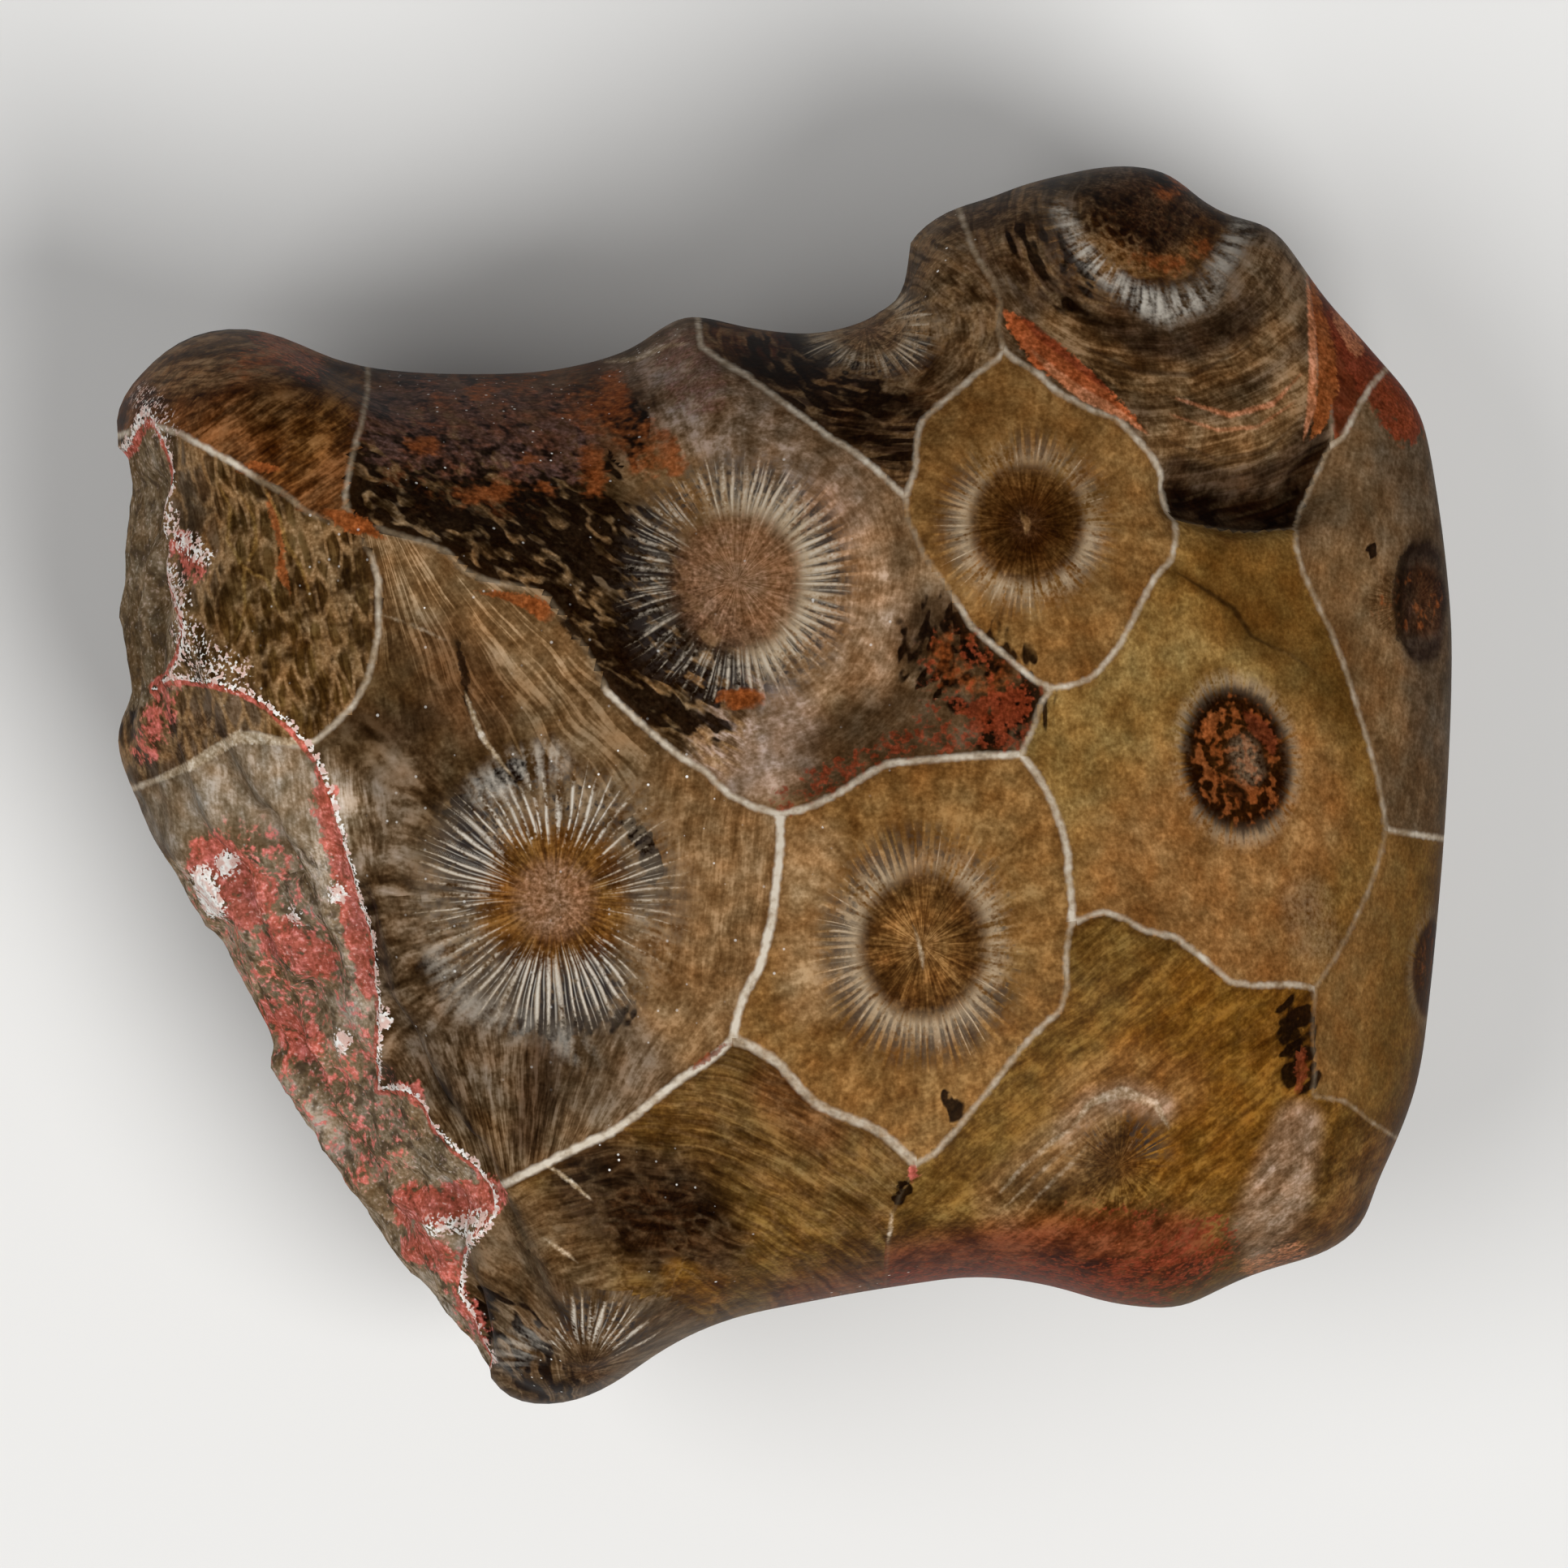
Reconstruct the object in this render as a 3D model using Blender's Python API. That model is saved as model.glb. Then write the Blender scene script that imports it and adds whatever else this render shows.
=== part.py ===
"""Petoskey stone: a loose, water-worn piece of fossil coral, lying on its back on a small flat spot.

The stone is one closed solid. Its plan is a smooth closed outline. Between a gently domed front and a
flatter back its sides are rounded, more on the right than elsewhere, and a broken face cuts off its left.
The front has a ridge with a slope behind it, and shallow hollows at the larger coral cells.
"""
import math

import bmesh
import bpy
import numpy as np

# The design is in millimetres, with x to the right, y up and z towards the viewer of the front.
# The mesh is written in metres.
MM = 0.001

NAME = "petoskey_stone"
GRID = 28              # squares along each edge of the cube that the stone is shaped from
RELAX_ROUNDS = 16      # how often the net of squares is evened out over the surface

# Outline of the stone, clockwise from the tip of the left horn
OUTLINE = [
    (-20.58, 10.75), (-20.13, 11.98), (-19.15, 13.20), (-17.55, 14.00), (-16.13, 13.98),
    (-14.15, 13.20), (-12.13, 12.70), (-10.05, 12.43), (-7.90, 12.45), (-6.28, 12.80),
    (-4.80, 13.35), (-3.48, 14.18), (-2.60, 14.38), (-0.90, 14.03), (0.95, 13.80),
    (2.58, 14.05), (3.30, 14.58), (3.70, 15.45), (3.83, 16.38), (4.35, 17.40),
    (5.55, 17.70), (6.88, 18.28), (8.95, 18.83), (10.60, 19.03), (12.10, 18.65),
    (13.35, 17.65), (14.68, 17.30), (15.60, 16.48), (16.73, 14.93), (18.08, 13.40),
    (19.50, 11.60), (20.03, 9.60), (20.48, 6.10), (20.58, 3.25), (20.35, -1.55),
    (19.83, -7.10), (19.38, -9.60), (18.35, -12.13), (17.48, -13.90), (15.85, -14.65),
    (14.10, -15.23), (12.08, -16.08), (9.78, -15.88), (8.05, -15.38), (5.88, -15.13),
    (3.50, -15.43), (0.85, -15.88), (-1.55, -16.40), (-3.45, -17.28), (-5.38, -18.53),
    (-7.25, -19.10), (-8.65, -18.68), (-9.73, -17.10), (-11.90, -14.60), (-13.43, -12.45),
    (-15.55, -9.33), (-17.10, -6.05), (-18.50, -3.48), (-19.75, -0.98), (-20.43, 0.75),
    (-20.55, 1.60), (-20.03, 3.38), (-20.33, 4.15), (-20.40, 6.65), (-20.15, 9.40),
]
CENTRE = (3.35, 1.65, 11.5)    # the whole outline can be seen from here
STEPS_PER_POINT = 12           # how finely the outline's curve is sampled
OUTLINE_BLUR = 0.20            # radians over which its corners are lost further inside
BLUR_DEPTH = 5.0               # how far inside they are gone

# Heights above the flat spot that the stone rests on
FRONT_HEIGHT = 23.8
RIM_HEIGHT = 10.0
RIM_TILT = (0.04, -0.05)       # how the rim rises to the right and falls towards the top

# The front is a dome that falls away from its highest place
APEX = (1.0, -4.0)
CURVE_RIGHT = 0.014
CURVE_LEFT = 0.006
CURVE_UP = 0.006
CURVE_DOWN = 0.012

# The ridge runs from the left horn down to the middle, and a slope falls from it towards the top edge
RIDGE_POINT = (-6.65, 5.30)
RIDGE_NORMAL = (0.559, 0.829)
RIDGE_SOFTNESS = 0.45
SLOPE_LEFT = 0.66
SLOPE_RIGHT = 0.20
SLOPE_FADE = (-7.0, 5.0)       # where the slope changes from the left value to the right one

# Hollows (+) and swells (-) of the front: x, y, radius across, radius up, depth
HOLLOWS = {
    "big_cell_left": (-7.2, -3.6, 6.6, 6.4, 0.75),
    "cell_behind_ridge": (-1.5, 5.4, 6.0, 5.8, 0.95),
    "cell_top_middle": (8.0, 8.0, 4.6, 5.2, -0.60),
    "cell_middle": (4.2, -4.9, 4.9, 5.4, 0.35),
    "cell_right": (13.6, 1.2, 5.2, 6.6, 0.35),
    "cell_top_right": (11.2, 16.2, 4.2, 3.6, 0.60),
    "cell_lower_right": (10.6, -10.4, 4.6, 4.0, 0.50),
    "cell_lower_left": (-3.6, -13.4, 4.6, 3.4, 0.80),
    "notch_at_top": (2.4, 13.4, 3.6, 3.4, 1.00),
    "saddle_at_top": (-8.8, 12.6, 5.6, 4.6, 1.70),
    "cell_left": (-15.4, 4.8, 4.2, 5.0, 0.50),
    "step_under_lobe": (13.9, 9.0, 3.2, 1.3, 0.80),
    "tip_lower_left": (-7.6, -17.0, 2.8, 2.4, 0.45),
}

# Width of the rounding between the front and the rim
ROUND_RIGHT = 11.0
ROUND_LEFT = 5.0
ROUND_FADE = (5.0, 14.0)
ROUND_TOP_LESS = 4.5           # how much narrower it is at the top right lobe
ROUND_BOTTOM_LESS = 3.5        # and along the bottom edge

# The back is a shallow bowl with a flat spot under the middle of the stone's weight
BACK_MIDDLE = (1.2, 0.2)
BACK_DEPTH = 1.0               # how deep the bowl would reach under the flat spot
BACK_CURVE = 0.0125
BACK_ROUND = 9.0
FLAT_EDGE = 0.4
ROUNDNESS = 2.35               # 2 gives the rounded sides an elliptic section, more a squarer one
LEAST_REACH = 2.0              # from the rim to the front or back, out beyond the stone

# The broken face on the left is two steep cuts with ledges and pits
BREAK_EDGE = 0.8
LOWER_CUT = {"point": (-17.50, -7.35), "normal": (-0.866, -0.500), "lean": 0.52}
LEFT_CUT = {"point": (-21.20, 6.00), "normal": (-0.998, -0.060), "lean": 0.27}
LEDGE_DEPTH = 0.34
PIT_DEPTH = 0.26

SWELL_DEPTH = 0.25             # the slight unevenness of the worn surface
FIELD_SCALE = 8.0              # makes the body's field change by about one for each millimetre


def smooth_step(value, low, high):
    """Rise from 0 at low to 1 at high with no corners."""
    part = np.clip((value - low) / (high - low), 0.0, 1.0)
    return part * part * (3.0 - 2.0 * part)


def smooth_ramp(value, softness):
    """Stay at 0 below zero and rise in proportion above it, with a soft corner."""
    return softness * np.logaddexp(0.0, value / softness)


def smooth_max(first, second, radius):
    """The larger of two fields, which rounds the edge where their surfaces meet."""
    overlap = np.clip(1.0 - np.abs(first - second) / radius, 0.0, 1.0)
    return np.maximum(first, second) + overlap * overlap * radius / 4.0


def swell(x, y, z, size, phase):
    """Gentle waves between about -1 and 1 that don't line up with each other."""
    a = np.sin((1.00 * x + 0.35 * y + 0.52 * z) / size + phase)
    b = np.sin((-0.44 * x + 0.93 * y + 0.61 * z) / size * 1.31 + 2.1 * phase)
    c = np.sin((0.57 * x - 0.68 * y + 0.86 * z) / size * 1.77 + 3.3 * phase)
    return (a * b + b * c + c * a) / 1.5


def outline_curve():
    """Sample a smooth closed curve through the outline's points."""
    points = np.array(OUTLINE)
    before = np.roll(points, 1, axis=0)
    after = np.roll(points, -1, axis=0)
    second = np.roll(points, -2, axis=0)
    rows = []
    for step in range(STEPS_PER_POINT):
        t = step / STEPS_PER_POINT
        rows.append(0.5 * (
            2.0 * points
            + (after - before) * t
            + (2.0 * before - 5.0 * points + 4.0 * after - second) * t ** 2
            + (3.0 * points - before - 3.0 * after + second) * t ** 3
        ))
    return np.stack(rows, axis=1).reshape(-1, 2)


def polar_outline():
    """The outline's distance from the centre at even angles, as it is and with its corners lost."""
    curve = outline_curve() - np.array(CENTRE[:2])
    angle = np.arctan2(curve[:, 1], curve[:, 0])
    radius = np.hypot(curve[:, 0], curve[:, 1])
    order = np.argsort(angle)
    even = np.linspace(-math.pi, math.pi, 1440, endpoint=False)
    sharp = np.interp(even, angle[order], radius[order], period=2.0 * math.pi)
    blur = np.exp(-0.5 * (even / OUTLINE_BLUR) ** 2)
    blur = np.fft.fft(np.fft.ifftshift(blur / blur.sum()))
    return even, sharp, np.fft.ifft(np.fft.fft(sharp) * blur).real


ANGLES, SHARP_RADII, BLURRED_RADII = polar_outline()


def depth_inside(x, y):
    """Distance in plan from the outline, positive inside it."""
    dx = x - CENTRE[0]
    dy = y - CENTRE[1]
    angle = np.arctan2(dy, dx)
    distance = np.hypot(dx, dy)
    depths = []
    for radii in (SHARP_RADII, BLURRED_RADII):
        growth = (np.roll(radii, -1) - np.roll(radii, 1)) / (ANGLES[2] - ANGLES[0])
        radius = np.interp(angle, ANGLES, radii, period=2.0 * math.pi)
        growth = np.interp(angle, ANGLES, growth, period=2.0 * math.pi)
        depths.append((radius - distance) / np.sqrt(1.0 + (growth / radius) ** 2))
    blurring = smooth_step(radius - distance, 0.0, BLUR_DEPTH)
    return depths[0] + (depths[1] - depths[0]) * blurring


def front_height(x, y):
    """Height of the front over the resting plane, without the rounding at the rim."""
    right = np.maximum(x - APEX[0], 0.0)
    left = np.minimum(x - APEX[0], 0.0)
    up = np.maximum(y - APEX[1], 0.0)
    down = np.minimum(y - APEX[1], 0.0)
    height = FRONT_HEIGHT - CURVE_RIGHT * right ** 2 - CURVE_LEFT * left ** 2
    height = height - CURVE_UP * up ** 2 - CURVE_DOWN * down ** 2
    above = (x - RIDGE_POINT[0]) * RIDGE_NORMAL[0] + (y - RIDGE_POINT[1]) * RIDGE_NORMAL[1]
    slope = SLOPE_LEFT + (SLOPE_RIGHT - SLOPE_LEFT) * smooth_step(x, *SLOPE_FADE)
    height = height - slope * smooth_ramp(above, RIDGE_SOFTNESS)
    for cx, cy, across, upward, depth in HOLLOWS.values():
        distance = ((x - cx) / across) ** 2 + ((y - cy) / upward) ** 2
        height = height - depth * np.exp(-distance ** 2)
    return height - SWELL_DEPTH * swell(x, y, 0.0, 3.4, 0.7)


def front_rounding(x, y):
    """Width of the rounding between the front and the rim."""
    width = ROUND_LEFT + (ROUND_RIGHT - ROUND_LEFT) * smooth_step(x, *ROUND_FADE)
    width = width - ROUND_TOP_LESS * smooth_step(x, 4.0, 10.0) * smooth_step(y, 6.0, 15.0)
    return width - ROUND_BOTTOM_LESS * smooth_step(x, 4.0, 10.0) * smooth_step(-y, 6.0, 13.0)


def back_height(x, y):
    """Height of the underside over the resting plane, without the rounding at the rim."""
    spread = (x - BACK_MIDDLE[0]) ** 2 + (y - BACK_MIDDLE[1]) ** 2
    return BACK_CURVE * spread - BACK_DEPTH + SWELL_DEPTH * swell(x, y, 9.0, 4.1, 0.3)


def body_field(x, y, z):
    """Negative inside the worn body, which is rounded from the rim to the front and to the back."""
    depth = depth_inside(x, y)
    rim = RIM_HEIGHT + RIM_TILT[0] * x + RIM_TILT[1] * y
    is_front = z > rim
    rounding = np.where(is_front, front_rounding(x, y), BACK_ROUND)
    reach = np.where(is_front, front_height(x, y) - rim, rim - back_height(x, y))
    reach = np.maximum(reach, LEAST_REACH)
    across = np.maximum(1.0 - depth / rounding, 0.0)
    upright = np.abs(z - rim) / reach
    return ((across ** ROUNDNESS + upright ** ROUNDNESS) ** (1.0 / ROUNDNESS) - 1.0) * FIELD_SCALE


def cut_field(x, y, z, cut):
    """Negative on the stone's side of a steep broken face."""
    px, py = cut["point"]
    nx, ny = cut["normal"]
    out = (x - px) * nx + (y - py) * ny + (z - RIM_HEIGHT) * cut["lean"]
    along = (y - py) * nx - (x - px) * ny
    ledges = np.sin(1.9 * z + 1.2 * np.sin(0.55 * along) + 0.35 * along)
    pits = swell(x, y, z, 0.95, 1.9)
    return out / math.hypot(1.0, cut["lean"]) + LEDGE_DEPTH * ledges + PIT_DEPTH * pits


def stone_field(points):
    """Negative inside the stone, zero on its surface."""
    x, y, z = points.T
    field = body_field(x, y, z)
    for cut in (LOWER_CUT, LEFT_CUT):
        field = smooth_max(field, cut_field(x, y, z, cut), BREAK_EDGE)
    return smooth_max(field, -z, FLAT_EDGE)


def reach_surface(directions):
    """Go out from the centre along each direction until the surface is met."""
    centre = np.array(CENTRE)
    inside = np.zeros(len(directions))
    outside = np.full(len(directions), 40.0)
    for _ in range(44):
        middle = (inside + outside) / 2.0
        is_in = stone_field(centre + directions * middle[:, None]) < 0.0
        inside = np.where(is_in, middle, inside)
        outside = np.where(is_in, outside, middle)
    return centre + directions * inside[:, None]


def field_slope(points):
    """How the field changes along x, y and z at each point."""
    step = 0.01
    columns = []
    for axis in range(3):
        shift = np.zeros(3)
        shift[axis] = step
        columns.append((stone_field(points + shift) - stone_field(points - shift)) / (2.0 * step))
    return np.stack(columns, axis=1)


def settle(points, rounds):
    """Bring points that have left the surface back to it by the shortest way."""
    for _ in range(rounds):
        slope = field_slope(points)
        steepness = np.maximum((slope ** 2).sum(axis=1), 0.05)
        move = (stone_field(points) / steepness)[:, None] * slope
        length = np.linalg.norm(move, axis=1, keepdims=True)
        points = points - move * np.minimum(1.0, 0.4 / np.maximum(length, 1e-9))
    return points


def even_out(points, edges):
    """Slide the points over the surface until the squares have like sizes."""
    count = np.bincount(edges.ravel(), minlength=len(points))[:, None]
    for _ in range(RELAX_ROUNDS):
        total = np.zeros_like(points)
        np.add.at(total, edges[:, 0], points[edges[:, 1]])
        np.add.at(total, edges[:, 1], points[edges[:, 0]])
        points = settle(points + 0.5 * (total / count - points), 2)
    return settle(points, 8)


def cube_net(mesh):
    """Make a cube whose faces are grids of squares, and return its points' directions and edges."""
    bmesh.ops.create_cube(mesh, size=2.0)
    bmesh.ops.subdivide_edges(mesh, edges=mesh.edges[:], cuts=GRID - 1, use_grid_fill=True)
    mesh.verts.index_update()
    corners = np.array([vert.co[:] for vert in mesh.verts])
    spread = np.tan(corners * math.pi / 4.0) * np.array([1.0, 0.95, 0.72])
    directions = spread / np.linalg.norm(spread, axis=1, keepdims=True)
    edges = np.array([[vert.index for vert in edge.verts] for edge in mesh.edges])
    return directions, edges


def stone_material():
    """Polished brown limestone."""
    material = bpy.data.materials.new("polished_coral_stone")
    material.use_nodes = True
    shader = material.node_tree.nodes["Principled BSDF"]
    shader.inputs["Base Color"].default_value = (0.20, 0.125, 0.062, 1.0)
    shader.inputs["Roughness"].default_value = 0.34
    shader.inputs["Metallic"].default_value = 0.0
    return material


def make_stone():
    """Shape the stone from the gridded cube and place it with its flat spot on the ground."""
    net = bmesh.new()
    directions, edges = cube_net(net)
    points = even_out(reach_surface(directions), edges)
    middle = (points.min(axis=0) + points.max(axis=0)) / 2.0
    points = points - np.array([middle[0], middle[1], 0.0])
    points[:, 2] = np.where(points[:, 2] < 0.004, 0.0, points[:, 2])
    for vert, point in zip(net.verts, points * MM):
        vert.co = point
    mesh = bpy.data.meshes.new(NAME)
    net.to_mesh(mesh)
    net.free()
    mesh.shade_smooth()
    mesh.materials.append(stone_material())
    stone = bpy.data.objects.new(NAME, mesh)
    bpy.context.scene.collection.objects.link(stone)
    return stone


def main():
    for old in list(bpy.data.objects):
        bpy.data.objects.remove(old)
    make_stone()


main()
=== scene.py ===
import math
from collections import namedtuple

import bmesh
import bpy
import numpy as np
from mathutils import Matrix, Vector, noise


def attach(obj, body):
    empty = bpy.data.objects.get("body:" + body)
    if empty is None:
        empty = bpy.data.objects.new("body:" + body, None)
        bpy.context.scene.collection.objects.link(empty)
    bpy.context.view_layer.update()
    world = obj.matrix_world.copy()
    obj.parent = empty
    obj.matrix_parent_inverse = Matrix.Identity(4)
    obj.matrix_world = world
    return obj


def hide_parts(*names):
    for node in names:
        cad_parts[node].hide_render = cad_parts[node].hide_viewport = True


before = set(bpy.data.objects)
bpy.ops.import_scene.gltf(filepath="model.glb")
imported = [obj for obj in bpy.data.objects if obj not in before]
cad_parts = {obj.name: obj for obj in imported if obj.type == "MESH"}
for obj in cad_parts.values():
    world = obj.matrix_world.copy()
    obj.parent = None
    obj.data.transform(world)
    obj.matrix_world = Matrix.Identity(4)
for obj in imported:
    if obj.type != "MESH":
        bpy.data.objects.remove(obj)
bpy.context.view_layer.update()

# Lengths below are in millimetres, and the mesh is written in metres.
# Places on the front are read off the photograph, in its own pixels.
MM = 0.001
NODE = "petoskey_stone"
PHOTO_SIDE = 1932
PHOTO_MIDDLE = PHOTO_SIDE / 2.0
PIXELS_PER_MM = 40.0
RIM_HEIGHT = 10.0              # height of the stone's widest outline, where that scale holds
CAMERA_DISTANCE = 900.0        # over the rim
SENSOR_WIDTH = 36.0
TINY = 1e-6                    # keeps a length above 0 where something is divided by it
WELD = 1e-6                    # metres within which the solid's facets share a corner
JOIN_ANGLES = (60, 80)         # most degrees between two facets, and of a corner from square, to join them
SMOOTH_LEVELS = 2
SMOOTH_QUALITY = 4
FIT_ROUNDS = 3                 # rounds of moving corners until the smooth mesh passes through the solid's
RIM_TILT = (0.04, -0.05)       # how the rim rises to the right and falls towards the top
FRONT_BLEND = (-3.4, -0.4)     # over these heights from the rim the front's cells give way to the back's
FAR = 15.0                     # stands for a cell that is nowhere near
FACING_UP = 0.8                # a cup that faces up or down more than this is laid out from the front's up
SEED_FIELD = (0.5, -4.0)       # off the front, how fast a cell's field rises from its seed, and from what
WALL_WANDER = 0.35             # how far the walls off the front wander
WANDER_SIZE = 2.2              # the size of their waves
SWIRL_WAVES = [                # each wave's way, pace and lead
    ((0.91, 0.42, 0.13), 1.00, 1.0),
    ((-0.38, 0.87, 0.31), 1.37, 2.3),
    ((0.27, -0.55, 0.79), 1.91, 3.7),
]

# The lines of the walls between coral cells on the front. Those named past_ lie off the stone.
WALLS = {
    "horn_low": [(100, 548), (149, 536), (172, 528), (194, 526), (223, 534), (252, 551), (285, 569),
                 (321, 592), (350, 608), (379, 631), (405, 643), (440, 650)],
    "horn_right": [(440, 650), (425, 623), (426, 606), (434, 561), (445, 524), (453, 483),
                   (453, 452), (452, 380)],
    "left_cell_right": [(440, 650), (459, 688), (466, 717), (467, 774), (461, 807), (453, 836),
                        (438, 865), (416, 889), (388, 914)],
    "facet": [(388, 914), (363, 920), (342, 914), (313, 904), (293, 908), (264, 922), (235, 943),
              (198, 959), (166, 971), (120, 985)],
    "ridge": [(440, 650), (467, 652), (494, 660), (527, 670), (551, 680), (568, 700), (592, 713),
              (621, 721), (654, 725), (672, 733), (690, 755), (705, 778), (722, 800), (737, 830),
              (748, 852), (775, 878), (805, 905), (835, 930), (868, 950), (897, 978), (925, 993),
              (960, 1003)],
    "upper_ridge": [(860, 350), (860, 397), (864, 426), (889, 445), (921, 463), (954, 488), (987, 512),
                    (1020, 537), (1053, 557), (1081, 580), (1104, 602), (1116, 612)],
    "a_left": [(1116, 612), (1118, 640), (1127, 656), (1139, 685), (1160, 713), (1184, 750), (1194, 768),
               (1221, 793), (1250, 817), (1274, 838), (1295, 848)],
    "a_top_left": [(1116, 612), (1129, 574), (1129, 545), (1135, 520), (1151, 504), (1176, 484),
                   (1205, 459), (1229, 443), (1237, 430)],
    "a_right": [(1237, 430), (1250, 443), (1283, 463), (1303, 484), (1344, 504), (1377, 516),
                (1401, 541), (1422, 566), (1434, 590), (1444, 622)],
    "a_low_right": [(1444, 622), (1447, 640), (1449, 664), (1443, 689), (1422, 713), (1401, 754),
                    (1381, 793), (1360, 820), (1344, 836), (1320, 844), (1295, 848)],
    "top_right_left": [(1237, 430), (1230, 410), (1232, 370), (1222, 345), (1200, 310), (1183, 262),
                       (1170, 225)],
    "a_to_b": [(1295, 848), (1283, 867), (1274, 895), (1262, 920), (1258, 930)],
    "b_top": [(960, 1003), (993, 996), (1029, 980), (1066, 956), (1092, 941), (1145, 936),
              (1212, 931), (1258, 930)],
    "b_right": [(1258, 930), (1274, 949), (1291, 977), (1307, 1014), (1315, 1047), (1317, 1080),
                (1321, 1113), (1320, 1137)],
    "b_low_right": [(1320, 1137), (1317, 1150), (1313, 1183), (1315, 1215), (1307, 1244), (1288, 1260),
                    (1253, 1297), (1229, 1330), (1205, 1359), (1182, 1388), (1145, 1427), (1133, 1432)],
    "b_low_left": [(1133, 1432), (1120, 1427), (1105, 1412), (1085, 1395), (1060, 1382), (1030, 1372),
                   (1005, 1360), (985, 1340), (960, 1310), (930, 1290), (903, 1280)],
    "b_left": [(903, 1280), (910, 1245), (920, 1220), (935, 1195), (945, 1160), (952, 1130),
               (955, 1100), (960, 1060), (962, 1030), (960, 1003)],
    "big_cell_low": [(903, 1280), (890, 1292), (870, 1310), (845, 1325), (825, 1340), (800, 1360),
                     (775, 1380), (750, 1397), (720, 1410), (690, 1425), (665, 1438), (640, 1450),
                     (612, 1464)],
    "break_low": [(612, 1464), (560, 1490), (500, 1540), (440, 1580)],
    "tip": [(612, 1464), (640, 1530), (690, 1575), (760, 1592), (830, 1600), (880, 1640), (900, 1690)],
    "low_middle": [(1133, 1432), (1112, 1465), (1099, 1499), (1095, 1529), (1090, 1600), (1085, 1680)],
    "c_low": [(1320, 1137), (1336, 1131), (1360, 1123), (1385, 1131), (1410, 1146), (1447, 1154),
              (1475, 1174), (1500, 1195), (1516, 1210), (1541, 1214), (1590, 1213), (1620, 1217)],
    "lens": [(1620, 1217), (1617, 1273), (1621, 1314), (1617, 1351)],
    "corner": [(1617, 1351), (1657, 1356), (1687, 1380), (1717, 1400), (1790, 1440)],
    "c_right": [(1598, 648), (1596, 672), (1607, 709), (1623, 742), (1640, 779), (1656, 820),
                (1668, 858), (1685, 912), (1697, 957), (1705, 998), (1707, 1022)],
    "right_side": [(1707, 1022), (1738, 1027), (1775, 1033), (1850, 1040)],
    "c_low_right": [(1707, 1022), (1701, 1055), (1685, 1100), (1664, 1146), (1644, 1183), (1620, 1217)],
    "band_low": [(1444, 622), (1450, 636), (1492, 644), (1549, 650), (1598, 648)],
    "band_right": [(1598, 648), (1607, 623), (1631, 578), (1645, 548)],
    "shoulder": [(1645, 548), (1656, 537), (1672, 504), (1689, 475), (1760, 400)],
    "wedge": [(1645, 548), (1638, 500), (1628, 470), (1618, 420), (1613, 365), (1607, 324), (1600, 290)],
    "past_top_left": [(452, 380), (90, 340), (100, 548)],
    "past_left": [(120, 985), (80, 800), (100, 548)],
    "past_top": [(452, 380), (860, 350)],
    "past_notch": [(860, 350), (1170, 225)],
    "past_top_right": [(1170, 225), (1400, 120), (1600, 290)],
    "past_break": [(120, 985), (180, 1500), (440, 1580)],
    "past_tip": [(440, 1580), (560, 1820), (900, 1690)],
    "past_bottom": [(900, 1690), (1085, 1680)],
    "past_corner": [(1085, 1680), (1800, 1700), (1790, 1440)],
    "past_right_low": [(1790, 1440), (1850, 1300), (1850, 1040)],
    "past_right": [(1850, 1040), (1850, 600), (1760, 400)],
    "past_shoulder": [(1760, 400), (1700, 290), (1600, 290)],
}

# The walls round each cell of the front. A minus sign turns a wall's line round.
CELLS = {
    "horn": ["horn_low", "horn_right", "past_top_left"],
    "left": ["-horn_low", "-past_left", "-facet", "-left_cell_right"],
    "behind_ridge": ["ridge", "b_top", "-a_to_b", "-a_left", "-upper_ridge", "-past_top", "-horn_right"],
    "notch": ["upper_ridge", "a_top_left", "top_right_left", "-past_notch"],
    "lobe": ["a_right", "band_low", "band_right", "wedge", "-past_top_right", "-top_right_left"],
    "a": ["a_top_left", "a_right", "a_low_right", "-a_left"],
    "c": ["-a_low_right", "band_low", "c_right", "c_low_right", "-c_low", "-b_right", "-a_to_b"],
    "b": ["b_top", "b_right", "b_low_right", "b_low_left", "b_left"],
    "big": ["left_cell_right", "facet", "past_break", "-break_low", "-big_cell_low", "b_left", "-ridge"],
    "dark_patch": ["big_cell_low", "tip", "past_bottom", "-low_middle", "b_low_left"],
    "tip": ["break_low", "past_tip", "-tip"],
    "low_right": ["low_middle", "past_corner", "-corner", "-lens", "-c_low", "b_low_right"],
    "right_low": ["c_low_right", "lens", "corner", "past_right_low", "-right_side"],
    "right": ["c_right", "right_side", "past_right", "-shoulder", "-band_right"],
    "wedge": ["shoulder", "past_shoulder", "-wedge"],
}

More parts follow.
